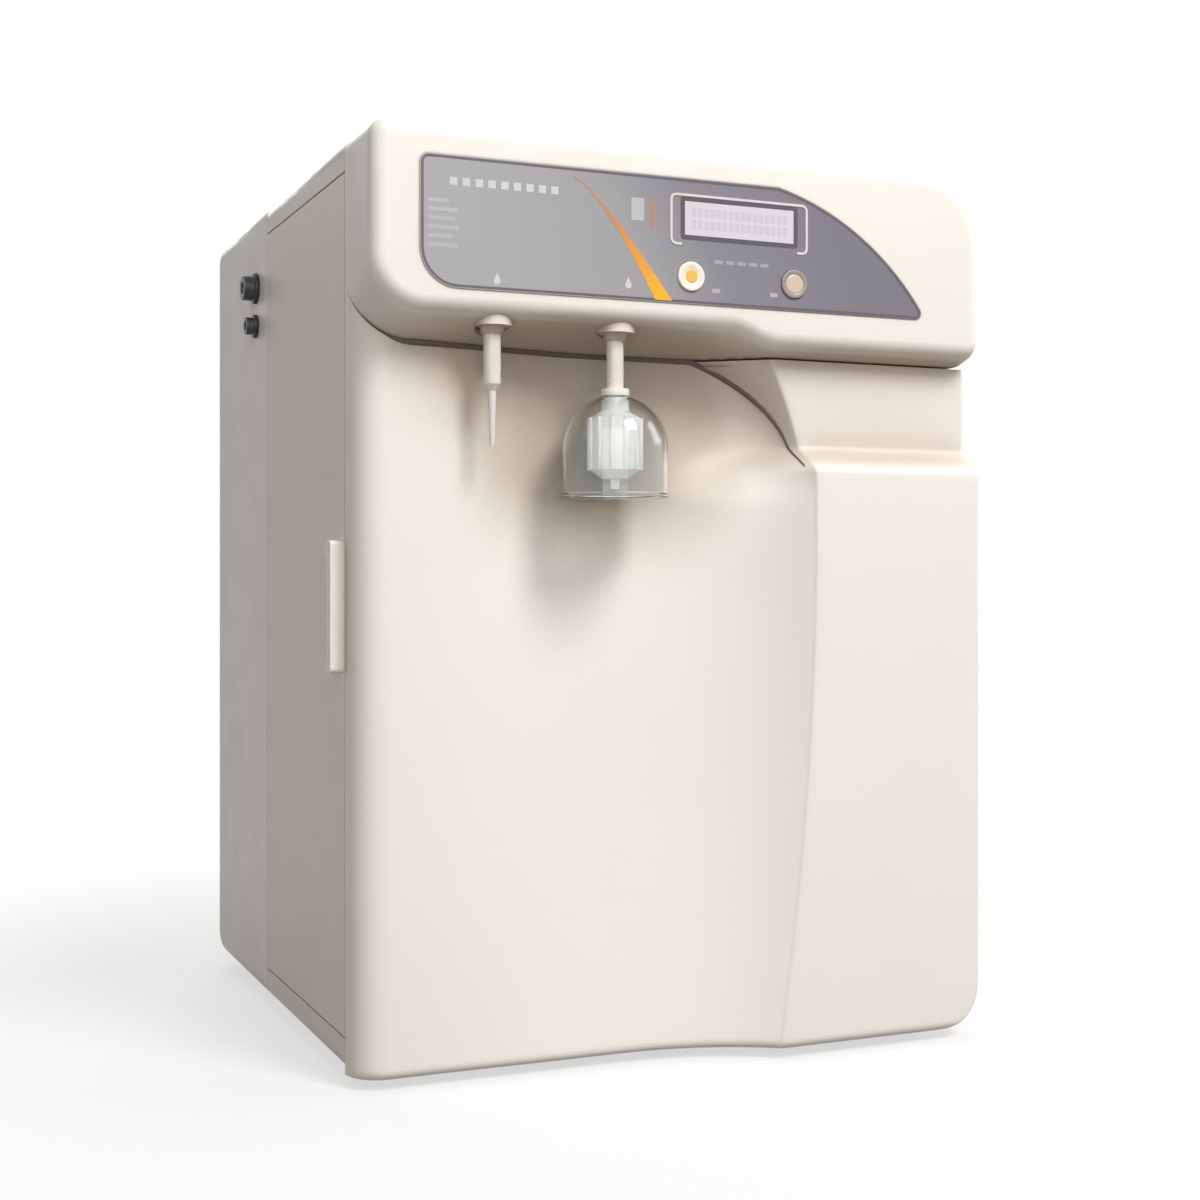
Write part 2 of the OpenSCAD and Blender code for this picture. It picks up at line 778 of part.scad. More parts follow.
// A bar whose right end is swept off by a large arc and ends in a small round tip
module field_outline() {
    x0 = field_at[0];
    z0 = field_at[1];
    z1 = z0 + field_h;
    sweep_at = [x0 + field_len - field_sweep_reach, z0 - field_sweep_drop];
    reach = sqrt(pow(field_sweep_r - field_tip_r, 2) - pow(field_sweep_drop + field_tip_r, 2));
    tip_at = [sweep_at[0] + reach, z0 + field_tip_r];
    turn_at = sweep_at + field_sweep_r * unit(tip_at - sweep_at);
    intersection() {
        rounded(x0, z0, x0 + field_len + field_corner_r, z1,
            [field_corner_r, 0, 0, field_top_r]);
        union() {
            translate([x0, z0]) square([sweep_at[0] - x0, field_h]);
            intersection() {
                translate(sweep_at) circle(field_sweep_r, $fn = 160);
                polygon([[sweep_at[0] - over, z0], [tip_at[0], z0], turn_at, [turn_at[0], z1],
                    [sweep_at[0] - over, z1]]);
            }
            translate(tip_at) circle(field_tip_r);
        }
    }
}

module control_field() {
    color("slategray") placed() difference() {
        along_d(-field_t, field_t) field_outline();
        block(around(window_at[0], window_w / 2), [-field_t - 1, 1],
            around(window_at[1], window_h / 2));
        for (p = [left_button_at, right_button_at]) rod_d(p, -field_t - 1, 2, button_r + gap);
    }
}

frame_gap = 8;
frame_bar = 1.4;
frame_r = 4;
frame_out = 0.4;
frame_rise = 2.6;
frame_foot = 2;
frame_break = 6;

// Thin raised line round three and a half sides of the display window
module display_frame() {
    x = window_w / 2 + frame_gap;
    z0 = -window_h / 2 - frame_rise - frame_foot;
    z1 = window_h / 2 + frame_rise;
    bar = frame_bar;
    color("lightgray") placed() along_d(-field_t - frame_out, frame_out) translate(window_at) {
        difference() {
            rounded(-x - bar, z0 - bar, x + bar, z1 + bar, frame_r * [1, 1, 1, 1]);
            rounded(-x, z0, x, z1, (frame_r - bar) * [1, 1, 1, 1]);
            translate([frame_break - x, z0 - 2 * bar]) square([2 * (x - frame_break), 3 * bar]);
        }
    }
}

module display_window() {
    color("lavender") placed() block(around(window_at[0], window_w / 2 - 0.15),
        [-field_t, wall - 1], around(window_at[1], window_h / 2 - 0.15));
}

board_d = 13;
board_t = 1.6;
module_half = [40, 18];
module_d = 8.5;
module_leg = [34, 13];
board_left = 56;
board_right = 68;
board_low = 47;
board_high = 22;
chip_w = 10;
chip_pitch = 18;
plug_w = 30;

module display_module() {
    color("darkgreen") placed() {
        block(around(window_at[0], module_half[0]), [wall, wall + module_d],
            around(window_at[1], module_half[1]));
        block(around(window_at[0], window_w / 2 - 1), [wall - 1 + 0.1, wall],
            around(window_at[1], window_h / 2 - 1));
        for (s = [-1, 1]) {
            rod_d(window_at + [module_leg[0] * s, module_leg[1]], wall + 8, board_d - wall - 8, 2);
        }
    }
}

spacer_at = [for (p = [[-52, 16], [64, 2], [-52, -42], [64, -42]]) window_at + p];

module display_board() {
    color("seagreen") placed() {
        difference() {
            block([window_at[0] - board_left, window_at[0] + board_right],
                [board_d, board_d + board_t],
                [window_at[1] - board_low, window_at[1] + board_high]);
            for (p = spacer_at) rod_d(p, board_d - 1, board_t + 2, screw_r - 0.2);
        }
        for (k = [0:3]) {
            block(around(window_at[0] - 19 + chip_pitch * k, chip_w / 2),
                [board_d + board_t, board_d + board_t + 3], around(window_at[1] - 23, chip_w / 2));
        }
        block(around(window_at[0] + 6, plug_w / 2), [board_d + board_t, board_d + board_t + 8],
            around(window_at[1] - 3, plug_w / 6));
    }
}

module button_switches() {
    color("black") placed() for (p = [left_button_at, right_button_at]) {
        block(around(p[0], 3), [board_d - 2, board_d], around(p[1], 3));
    }
}

button_proud = 1.4;
stem_r = 3;
plunger_gap = 0.2;

module button(at) {
    placed() {
        rod_d(at, -field_t - button_proud, field_t + button_proud + wall - 0.4, button_r);
        rod_d(at, wall - 0.5, board_d - 2 - button_travel - plunger_gap - wall + 0.5, stem_r);
    }
}

module left_button() {
    color("orange") button(left_button_at);
}

module right_button() {
    color("peachpuff") button(right_button_at);
}

// ---------------------------------------------------------------- dispensing points

fitting_top_z = lip_z + 17;
fitting_low_z = boss_z0 - 7;
spout_bore_r = 2;
spout_nut_h = 5;
nose_wall = 0.9;

module spout_fitting(w) {
    placed() difference() {
        union() {
            rod_z([w, spout_d], boss_z0 - flange_t, flange_t, flange_r);
            translate([w, spout_d, fitting_low_z]) {
                cylinder(h = boss_z0 - fitting_low_z - over, r1 = spout_r + nose_wall, r2 = fitting_r);
            }
            rod_z([w, spout_d], boss_z0 - 1, fitting_top_z - boss_z0 + 1, fitting_r);
            translate([w, spout_d, boss_z0 + boss_h + 0.1]) {
                cylinder(h = spout_nut_h, r = spout_nut_r, $fn = 6);
            }
        }
        rod_z([w, spout_d], fitting_low_z - 1, 14, spout_r);
        rod_z([w, spout_d], fitting_low_z, 60, spout_bore_r + 1);
    }
}

module plain_spout_fitting() {
    color("gainsboro") spout_fitting(plain_spout_w);
}

module product_spout_fitting() {
    color("gainsboro") spout_fitting(product_spout_w);
}

spout_in = 12;
sleeve_z = lip_z - 37;
tip_z = lip_z - 72;
neck_low_z = sleeve_z - 4;
tip_top_r = 2.4;
tip_low_r = 1.5;
tip_bore_r = 0.9;

module plain_spout() {
    color("white") placed() difference() {
        union() {
            rod_z([plain_spout_w, spout_d], sleeve_z, fitting_low_z + spout_in - sleeve_z,
                spout_r);
            translate([plain_spout_w, spout_d, neck_low_z]) {
                cylinder(h = sleeve_z - neck_low_z, r1 = tip_top_r, r2 = spout_r);
            }
            translate([plain_spout_w, spout_d, tip_z]) {
                cylinder(h = neck_low_z - tip_z, r1 = tip_low_r, r2 = tip_top_r);
            }
        }
        rod_z([plain_spout_w, spout_d], tip_z - over, sleeve_z + over - tip_z, tip_bore_r);
        rod_z([plain_spout_w, spout_d], sleeve_z, lip_z - sleeve_z, spout_bore_r);
    }
}

bell_wall = 1.8;
bell_crown = 0.52;
neck_r = 7;
dome_z = bell_z + bell_h;
spout_end_z = dome_z - 6;

module product_spout() {
    color("white") placed() difference() {
        rod_z([product_spout_w, spout_d], spout_end_z, fitting_low_z + spout_in - spout_end_z,
            spout_r);
        rod_z([product_spout_w, spout_d], spout_end_z - 1, 60, spout_bore_r);
    }
}

// Bell outline: a straight skirt under an elliptical dome
function bell_profile(r, h0, h1, crown) =
    [for (k = [0:16]) let (a = acos((neck_r + run_gap) / r) * k / 16)
        [r * cos(a), h0 + (h1 - h0) * (1 - crown) + (h1 - h0) * crown * sin(a)]];

module filter_bell() {
    outer = bell_profile(bell_r, bell_z, dome_z, bell_crown);
    inner = bell_profile(bell_r - bell_wall, bell_z, dome_z - bell_wall, bell_crown);
    n = len(inner);
    color("lightcyan") placed() translate([product_spout_w, spout_d, 0]) rotate_extrude() {
        polygon(concat([[bell_r - bell_wall, bell_z], [bell_r + bell_rim, bell_z],
            [bell_r + bell_rim, bell_z + 2]], outer, [for (k = [n - 1:-1:0]) inner[k]]));
    }
}

// Height of the bell's surface at distance at from its axis
function bell_height(r, h0, h1, at) =
    h0 + (h1 - h0) * (1 - bell_crown * (1 - sqrt(1 - pow(at / r, 2))));

capsule_r = 15;
collar_seat_r = 8.4;
collar_h = 4;
cone_h = 5;
nozzle_r = [2.5, 3.2];
nozzle_h = 5;
nozzle_bore_r = 1.4;
rib_r = 1.4;
rib_n = 12;
capsule_z = bell_z + 10;

module filter_capsule() {
    top = dome_z - bell_wall - 6;
    body_z0 = capsule_z + 6;
    body_z1 = top - 6;
    seat_z = bell_height(bell_r - bell_wall, bell_z, dome_z - bell_wall, collar_seat_r)
        - run_gap;
    crown_z = bell_height(bell_r, bell_z, dome_z, neck_r) + run_gap;
    color("white") placed() translate([product_spout_w, spout_d, 0]) {
        difference() {
            union() {
                lift(body_z0) cylinder(h = body_z1 - body_z0, r = capsule_r);
                lift(body_z1) cylinder(h = cone_h, r1 = capsule_r, r2 = neck_r);
                lift(body_z0 - cone_h) cylinder(h = cone_h, r1 = capsule_r / 2, r2 = capsule_r);
                lift(capsule_z - nozzle_h) cylinder(h = 8, r1 = nozzle_r[0], r2 = nozzle_r[1]);
                lift(top - 2) cylinder(h = crown_z + collar_h - top, r = neck_r);
                lift(top - 2) cylinder(h = seat_z - top + 2, r = collar_seat_r);
                lift(crown_z) cylinder(h = collar_h, r = collar_seat_r);
                for (k = [1:rib_n]) rotate(k * 360 / rib_n) {
                    translate([capsule_r, 0, body_z0]) cylinder(h = body_z1 - body_z0, r = rib_r);
                }
            }
            lift(spout_end_z) cylinder(h = lip_z - spout_end_z, r = spout_r + run_gap);
            lift(capsule_z - nozzle_h - over) cylinder(h = 8, r = nozzle_bore_r);
        }
    }
}

// ---------------------------------------------------------------- ports

port_thread_r = 7.5;
drain_thread_r = 5;
port_in = 16;
port_depth = 12;
port_rim = 3;
port_nut_h = 6;
port_nut_rim = 3.4;
barb_wall = 1.2;

// Push-in port along +x from the outside of a wall at x = 0; the tube goes in from -x
module port(thread_r, bore_r, out) {
    difference() {
        union() {
            rod_w([0, 0], -port_rim, port_rim, thread_r + port_rim);
            rod_w([0, 0], -out, out, thread_r + 1);
            rod_w([0, 0], -over, port_in + wall + over, thread_r);
        }
        rod_w([0, 0], -out - over, out + over + port_depth, bore_r);
        rod_w([0, 0], 0, port_in + wall + over, bore_r - barb_wall);
    }
}

module feed_port() {
    color("black") placed() translate([0, side_port_d, feed_port_z]) {
        port(port_thread_r, port_bore_r, port_out);
    }
}

module drain_port() {
    color("black") placed() translate([0, side_port_d, drain_port_z]) {
        port(drain_thread_r, drain_bore_r, port_out - 2);
    }
}

module tank_port() {
    color("black") placed() translate([tank_port_at[0], body_d, tank_port_at[1]]) {
        rotate([0, 0, -90]) port(port_thread_r, port_bore_r, rear_proud);
    }
}

module nut(thread_r) {
    translate([wall + 0.1, 0, 0]) rotate([0, 90, 0]) difference() {
        cylinder(h = port_nut_h, r = thread_r + port_nut_rim, $fn = 6);
        lift(-over) cylinder(h = port_nut_h + 2 * over, r = thread_r + run_gap);
    }
}

module port_nuts() {
    color("dimgray") placed() {
        translate([0, side_port_d, feed_port_z]) nut(port_thread_r);
        translate([0, side_port_d, drain_port_z]) nut(drain_thread_r);
        translate([tank_port_at[0], body_d, tank_port_at[1]]) rotate([0, 0, -90]) {
            nut(port_thread_r);
        }
    }
}

// ---------------------------------------------------------------- power entry

inlet_flange_t = 3;
inlet_in = 30;
drawer_w = 26;
drawer_h = 9;
drawer_z = inlet_at[1] + 14;
rocker_at = [inlet_at[0] - 19, inlet_at[1] - 3];
socket_at = [inlet_at[0] + 8, inlet_at[1] - 6];
rocker_w = 12;
rocker_h = 26;
inlet_rim = 4.3;
socket_half = [12, 8];
pin_pitch = 7;
pin_half = [1, 2];
drawer_grip_w = 12;
drawer_grip_h = 4;
drawer_grip_t = 1;
rocker_back = 8;
rocker_dish_r = 20;
rocker_dish_out = 14;
rocker_pivot = [body_d - 5, rocker_at[1]];

module power_inlet() {
    d0 = body_d - inlet_in;
    color("black") placed() difference() {
        union() {
            block(around(inlet_at[0], inlet_w / 2), [body_d, body_d + inlet_flange_t],
                around(inlet_at[1], inlet_h / 2));
            block(around(inlet_at[0], inlet_w / 2 - inlet_rim), [d0, body_d + 1],
                around(inlet_at[1], inlet_h / 2 - inlet_rim));
        }
        block(around(socket_at[0], socket_half[0]), [d0 + 10, body_d + 5],
            around(socket_at[1], socket_half[1]));
        block(around(socket_at[0], drawer_w / 2 + gap), [d0 + 4, body_d + 5],
            around(drawer_z, drawer_h / 2 + gap));
        block(around(rocker_at[0], rocker_w / 2 + gap), [d0 + 8, body_d + 5],
            around(rocker_at[1], rocker_h / 2 + gap));
        rod_w(rocker_pivot, rocker_at[0] - rocker_w / 2 - trunnion_len - gap,
            rocker_w + 2 * (trunnion_len + gap), trunnion_r + run_gap);
    }
    color("silver") placed() for (k = [-1:1]) {
        block(around(socket_at[0] + pin_pitch * k, pin_half[0]), [d0 + 9, body_d - 2],
            around(socket_at[1] + (k == 0 ? 2 : -2), pin_half[1]));
    }
}

module fuse_drawer() {
    d0 = body_d - inlet_in + 4 + gap;
    color("black") placed() {
        block(around(socket_at[0], drawer_w / 2), [d0, body_d + inlet_flange_t - 0.5],
            around(drawer_z, drawer_h / 2));
        block(around(socket_at[0], drawer_grip_w / 2),
            around(body_d + inlet_flange_t, drawer_grip_t), around(drawer_z, drawer_grip_h / 2));
    }
}

rocker_tilt = 8;
trunnion_r = 1.5;
trunnion_len = 2;

// Rocker cut from a disc, dished on its face, lying at its OFF tilt
module power_switch() {
    color("firebrick") placed() {
        along_w(rocker_at[0] - rocker_w / 2, rocker_w) {
            translate(rocker_pivot) rotate(rocker_tilt) difference() {
                circle(rocker_h / 2, $fn = 96);
                translate([-rocker_h, -rocker_h]) square([rocker_h - rocker_back, 2 * rocker_h]);
                translate([rocker_h / 2 + rocker_dish_out, 0]) circle(rocker_dish_r, $fn = 96);
            }
        }
        rod_w(rocker_pivot, rocker_at[0] - rocker_w / 2 - trunnion_len,
            rocker_w + 2 * trunnion_len, trunnion_r);
    }
}

// ---------------------------------------------------------------- fan

fan_d1 = body_d - wall;
fan_d0 = fan_d1 - fan_t;
fan_bore_r = fan_size / 2 - 2.5;
hub_r = 15;
blades = 7;
strut = 5;
strut_t = 3;
boss_len = 10;
boss_r = 4;
shaft_r = 2;
blade_pitch = 38;
blade_chord = 22;
blade_t = 1.6;

module fan_frame() {
    color("dimgray") placed() difference() {
        union() {
            difference() {
                block(around(fan_at[0], fan_size / 2), [fan_d0, fan_d1],
                    around(fan_at[1], fan_size / 2));
                rod_d(fan_at, fan_d0 - over, fan_t + 2 * over, fan_bore_r);
            }
            for (a = [45, 135]) translate([fan_at[0], 0, fan_at[1]]) rotate([0, a, 0]) {
                block((fan_bore_r + strut_t) * [-1, 1], [fan_d0, fan_d0 + strut_t],
                    strut / 2 * [-1, 1]);
            }
            rod_d(fan_at, fan_d0, strut_t, hub_r);
            rod_d(fan_at, fan_d0, boss_len, boss_r);
        }
        rod_d(fan_at, fan_d0 + 4, boss_len, shaft_r);
        for (s = [-1, 1]) for (t = [-1, 1]) {
            rod_d(fan_at + fan_hole * [s, t], fan_d0 - over, fan_t + 2 * over, screw_free_r);
        }
    }
}

module fan_rotor() {
    d0 = fan_d0 + 4;
    rotor_len = fan_t - 6;
    color("black") placed() {
        difference() {
            rod_d(fan_at, d0, rotor_len, hub_r);
            rod_d(fan_at, d0 - over, 8, hub_r - 3);
        }
        rod_d(fan_at, d0 + 2 * gap, boss_len, shaft_r - run_gap);
        intersection() {
            union() for (k = [0:blades - 1]) {
                translate([fan_at[0], d0 + rotor_len / 2, fan_at[1]])
                    rotate([0, 360 / blades * k, 0]) rotate([blade_pitch, 0, 0])
                    translate([hub_r - 2, -blade_chord / 2, -blade_t / 2])
                    cube([fan_bore_r - hub_r + 4, blade_chord, blade_t]);
            }
            difference() {
                rod_d(fan_at, d0, rotor_len, fan_bore_r - 1);
                rod_d(fan_at, d0 - over, fan_t, hub_r - 1.5);
            }
        }
    }
}

module fan_guard() {
    wire = 1;
    reach = fan_size / 2 + 4;
    color("silver") placed() translate([fan_at[0], body_d + 1.75 * wire, fan_at[1]]) {
        rotate([90, 0, 0]) for (k = [1:5]) {
            rotate_extrude() translate([k * fan_size / 10, 0]) circle(wire);
        }
        for (a = [0, 90]) rotate([0, a, 0]) {
            translate([-reach, -0.7 * wire, 0]) rotate([0, 90, 0]) {
                cylinder(h = 2 * reach, r = wire);
            }
        }
    }
}

// ---------------------------------------------------------------- treatment train

rack_z = 40;
rack_w0 = 18;
rack_foot_h = 24;
rack_flange_h = 22;
rack_span_d = [74, 229];
cartridge_at = [for (w = [58, 146]) for (d = [112, 197]) [w, d]];
cup_h = 10;
cup_wall = 3;
shoulder_h = 8;
cap_h = 6;
manifold_z = rack_z + sheet + cartridge_h;
manifold_h = 34;
manifold_body_h = 22;
manifold_neck_r = 14;
stub_r = 6;
stub_hole_r = 3;

module cartridge_rack() {
    top_z = manifold_z + manifold_h;
    color("silver") placed() difference() {
        union() {
            block([rack_w0, part_w], rack_span_d, [rack_z, rack_z + sheet]);
            block([part_w - sheet, part_w], rack_span_d, [rack_z - rack_foot_h, rack_z]);
            block([rack_w0, part_w], rack_span_d, [top_z, top_z + sheet]);
            block([part_w - sheet, part_w], rack_span_d, [top_z - rack_flange_h, top_z]);
            block([rack_w0, rack_w0 + sheet], rack_span_d, [floor_z, rack_z + sheet]);
            for (p = cartridge_at) rod_z(p, rack_z + sheet, cup_h, cartridge_r + cup_wall);
        }
        for (p = cartridge_at) {
            rod_z(p, rack_z + sheet, cup_h + over, cartridge_r + gap);
            rod_z(p, top_z - over, sheet + 2 * over, stub_r + 0.2);
        }
    }
}

module cartridge(at, cap_r) {
    body_top_z = manifold_z - cap_h - shoulder_h;
    rod_z(at, rack_z + sheet, body_top_z - rack_z - sheet, cartridge_r);
    rod_z(at, body_top_z - over, shoulder_h + over, cartridge_r - 6);
    rod_z(at, manifold_z - cap_h - over, cap_h + over, cap_r);
}

module cartridge_heads() {
    port_z = manifold_z + 12;
    reach = cartridge_r + stub_r;
    color("white") placed() for (p = cartridge_at) {
        difference() {
            union() {
                rod_z(p, manifold_z, manifold_body_h, cartridge_r - 4);
                rod_z(p, manifold_z + manifold_body_h - over,
                    manifold_h - manifold_body_h + over, manifold_neck_r);
                rod_z(p, manifold_z + manifold_h - over, 8, stub_r);
                rod_w([p[1], port_z], p[0] - reach, 2 * reach, stub_r);
            }
            for (s = [-1, 1]) {
                rod_w([p[1], port_z], p[0] + s * (reach - 5) - 6, 12, stub_hole_r);
            }
        }
    }
}

module sediment_cartridge() {
    color("white") placed() cartridge(cartridge_at[0], 20);
}

module carbon_cartridge() {
    color("white") placed() cartridge(cartridge_at[1], 20);
}

module polishing_cartridges() {
    color("aliceblue") placed() for (k = [2, 3]) cartridge(cartridge_at[k], 16);
}

vessel_off = 9;
ro_at = [part_w1 + ro_r + vessel_off, 106];
ro_z = 112;
ro_wall = 4;
ro_foot_h = 14;
ro_cap_h = 22;
ro_body_h = ro_h - 30;
ro_port_off = 14;
ro_port_r = 5;
ro_port_h = 10;
ro_rib = 4;
ro_base = 6;
ro_grip = 3;
ro_clip_z = [ro_z + 40, ro_z + ro_h - 70];
uv_at = [part_w1 + uv_r + vessel_off, 182];
uv_z = 106;
uv_wall = 2;
uv_flange_h = 6;
uv_port_in = 25;
uv_port_out = 16;
uv_base = 4;
lamp_r = 8;
lamp_plug_h = 7;
lamp_cap_r = 12;
lamp_cap_h = 16;
uv_clip_z = [uv_z + 50, uv_z + uv_h - 60];

module ro_housing() {
    color("white") placed() difference() {
        union() {
            rod_z(ro_at, ro_z, ro_body_h, ro_r);
            rod_z(ro_at, ro_z - ro_base, ro_base + over, ro_r - 8);
            rod_z(ro_at, ro_z - ro_foot_h, ro_foot_h, stub_r);
        }
        rod_z(ro_at, ro_z + ro_base, ro_h, ro_r - ro_wall);
        rod_z(ro_at, ro_z - ro_foot_h - over, 30, stub_hole_r);
    }
}

module ro_cap() {
    z = ro_z + ro_body_h + 0.1;
    color("dimgray") placed() difference() {
        union() {
            rod_z(ro_at, z, ro_cap_h, ro_r + ro_grip);
            for (k = [0:11]) translate([ro_at[0], ro_at[1], z]) rotate([0, 0, 30 * k]) {
                translate([ro_r + 1, -ro_rib / 2, 0]) cube([ro_rib, ro_rib, ro_cap_h]);
            }
            for (s = [-1, 1]) {
                rod_z(ro_at + [0, ro_port_off * s], z + ro_cap_h - 2, ro_port_h + 2, ro_port_r);
            }
        }
        rod_z(ro_at, z - over, 8 + over, ro_r - ro_wall);
        for (s = [-1, 1]) rod_z(ro_at + [0, ro_port_off * s], z + 6, 30, ro_port_r / 2);
    }
}

module ro_membrane() {
    color("khaki") placed() {
        rod_z(ro_at, ro_z + ro_base, ro_body_h, ro_r - ro_wall - 1);
        rod_z(ro_at, ro_z + ro_body_h + 4, 3, 8);
    }
}

module uv_chamber() {
    port_z = [uv_z + uv_port_in, uv_z + uv_h - uv_port_in];
    color("silver") placed() difference() {
        union() {
            rod_z(uv_at, uv_z, uv_h, uv_r);
            rod_z(uv_at, uv_z - uv_flange_h, uv_flange_h, uv_r + 2);
            rod_z(uv_at, uv_z + uv_h, uv_flange_h, uv_r + 2);
            for (z = port_z) rod_w([uv_at[1], z], uv_at[0], uv_r + uv_port_out, stub_r);
        }
        rod_z(uv_at, uv_z + uv_base, uv_h + uv_flange_h, uv_r - uv_wall);
        for (z = port_z) rod_w([uv_at[1], z], uv_at[0], uv_r + uv_port_out + over, stub_hole_r);
    }
}

module uv_lamp() {
    top_z = uv_z + uv_h + uv_flange_h;
    color("white") placed() {
        rod_z(uv_at, uv_z + uv_base + 2, uv_h + 2, lamp_r);
        rod_z(uv_at, top_z - lamp_plug_h, lamp_plug_h, uv_r - uv_wall - run_gap);
        rod_z(uv_at, top_z, lamp_cap_h, lamp_cap_r);
    }
}

clip_h = 14;
clip_t = 2.4;
clip_foot = 10;
clip_gap = 0.15;
clip_open = 0.55;

// Open clips that hold a round vessel on the partition
module clip(at, r, z) {
    difference() {
        union() {
            rod_z(at, z, clip_h, r + clip_t);
            block([part_w1, at[0]], around(at[1], clip_foot), [z, z + clip_h]);
        }
        rod_z(at, z - over, clip_h + 2 * over, r + clip_gap);
        block([at[0] + r * clip_open, at[0] + r + 2 * clip_t], around(at[1], r + 2 * clip_t),
            [z - over, z + clip_h + over]);
    }
}

module pipe_clips() {
    color("dimgray") placed() {
        for (z = ro_clip_z) clip(ro_at, ro_r, z);
        for (z = uv_clip_z) clip(uv_at, uv_r, z);
    }
}

// The booster pump lies along y under the vessels, with its two ports on its right side
pump_at = [part_w1 + 50, 60];
pump_d = 86;
motor_len = 92;
pump_head = 33;
pump_head_len = 56;
pump_foot_half = 30;
pump_rib_half = 12;
pump_foot_d = [pump_d + 10, pump_d + 136];
pump_mount_d = [pump_d + 18, pump_d + 128];
pump_mount_off = 24;
pump_mount_r = [7, 6];
pump_foot_z = floor_z + 12;
pump_port_d = [pump_d + 104, pump_d + 132];
pump_port_z = pump_at[1] + 14;
pump_port_w = pump_at[0] + pump_head + 14;

module booster_pump() {
    head_d = pump_d + motor_len - 2;
    color("dimgray") placed() difference() {
        union() {
            rod_d(pump_at, pump_d, motor_len, motor_r);
            rod_d(pump_at, pump_d - 4, 6, motor_r - 6);
            block(around(pump_at[0], pump_head), [head_d, head_d + pump_head_len],
                around(pump_at[1], pump_head));
            block(around(pump_at[0], pump_foot_half), pump_foot_d, [pump_foot_z, pump_foot_z + 3]);
            block(around(pump_at[0], pump_rib_half), [pump_foot_d[0] + 2, head_d],
                [pump_foot_z + 2, pump_at[1] - 20]);
            for (d = pump_port_d) {
                rod_w([d, pump_port_z], pump_at[0] + pump_head - over,
                    pump_port_w - pump_at[0] - pump_head + over, stub_r);
            }
        }
        for (d = pump_port_d) rod_w([d, pump_port_z], pump_port_w - 26, 30, stub_hole_r);
    }
}

module pump_mounts() {
    color("black") placed() for (s = [-1, 1]) for (d = pump_mount_d) {
        translate([pump_at[0] + pump_mount_off * s, d, floor_z]) {
            cylinder(h = pump_foot_z - floor_z, r1 = pump_mount_r[0], r2 = pump_mount_r[1]);
        }
    }
}

circ_at = [110, 320];
circ_foot_t = 4;
circ_motor_h = 50;
circ_volute_h = 24;
circ_foot_half = [34, 24];
circ_motor_r = 22;
circ_volute_r = 27;
circ_port_len = 14;

module circulation_pump() {
    motor_z = floor_z + circ_foot_t;
    volute_z = motor_z + circ_motor_h;
    port_z = volute_z + circ_volute_h / 2;
    color("dimgray") placed() difference() {
        union() {
            block(around(circ_at[0], circ_foot_half[0]), around(circ_at[1], circ_foot_half[1]),
                [floor_z, motor_z]);
            rod_z(circ_at, motor_z - over, circ_motor_h + over, circ_motor_r);
            rod_z(circ_at, volute_z, circ_volute_h, circ_volute_r);
            rod_z(circ_at, volute_z + circ_volute_h - over, circ_port_len, stub_r);
            rod_w([circ_at[1], port_z], circ_at[0] + 20, 24, stub_r);
        }
        rod_z(circ_at, volute_z + circ_volute_h - 8, 30, stub_hole_r);
        rod_w([circ_at[1], port_z], circ_at[0] + 24, 24, stub_hole_r);
    }
}

valve_h = 20;
valve_w = part_w1 + 15;
valve_stub = 11;
valve_len = 30;
valve_half = 14;
coil_len = 32;
coil_r = 12;
valve_z = body_h - 100;
valve_top_z = valve_z + valve_h + valve_stub + 3;
feed_valve_d = 345;
dispensing_valve_d = [95, 150];

module valve(d) {
    difference() {
        union() {
            block([part_w1, part_w1 + valve_len], around(d, valve_half),
                [valve_z, valve_z + valve_h]);
            rod_w([d, valve_z + valve_h / 2], part_w1 + valve_len - over, coil_len, coil_r);
            rod_z([valve_w, d], valve_z - valve_stub, valve_top_z - valve_z + valve_stub - 1,
                stub_r);
        }
        rod_z([valve_w, d], valve_z - valve_stub - over, valve_stub + over, stub_hole_r);
        rod_z([valve_w, d], valve_z + valve_h + 2, valve_stub + over, stub_hole_r);
    }
}

module feed_valve() {
    color("white") placed() valve(feed_valve_d);
}

module dispensing_valves() {
    color("white") placed() for (d = dispensing_valve_d) valve(d);
}

psu_w = [part_w1 + 8, part_w1 + 48];
psu_d = [262, 372];
psu_z = [50, 210];
psu_slot_pitch = 12;
psu_post_in = [13, 15];
psu_post_r = 4;
psu_slot_in = 18;
board_w0 = part_w1 + 12;

module power_supply() {
    color("silver") placed() difference() {
        union() {
            block(psu_w, psu_d, psu_z);
            for (d = psu_d + psu_post_in[0] * [1, -1]) for (z = psu_z + psu_post_in[1] * [1, -1]) {
                rod_w([d, z], part_w1, psu_w[0] - part_w1 + over, psu_post_r);
            }
        }
        for (k = [0:9]) {
            z = psu_z[0] + 20 + psu_slot_pitch * k;
            block([psu_w[1] - 2, psu_w[1] + over], psu_d + psu_slot_in * [1, -1],
                [z, z + psu_slot_pitch / 2]);
        }
    }
}

board_span_d = [262, 376];
board_span_z = [226, 368];
board_hole_in = 6;
terminal_pitch = 16;
terminal_half = 6;
terminal_h = 12.4;
chip_half = 15;
chip_h = 3.4;
can_pitch = 22;
can_r = 8;
can_h = 18;
spacer_r = 3.5;
board_holes = [for (d = board_span_d + board_hole_in * [1, -1])
    for (z = board_span_z + board_hole_in * [1, -1]) [d, z]];

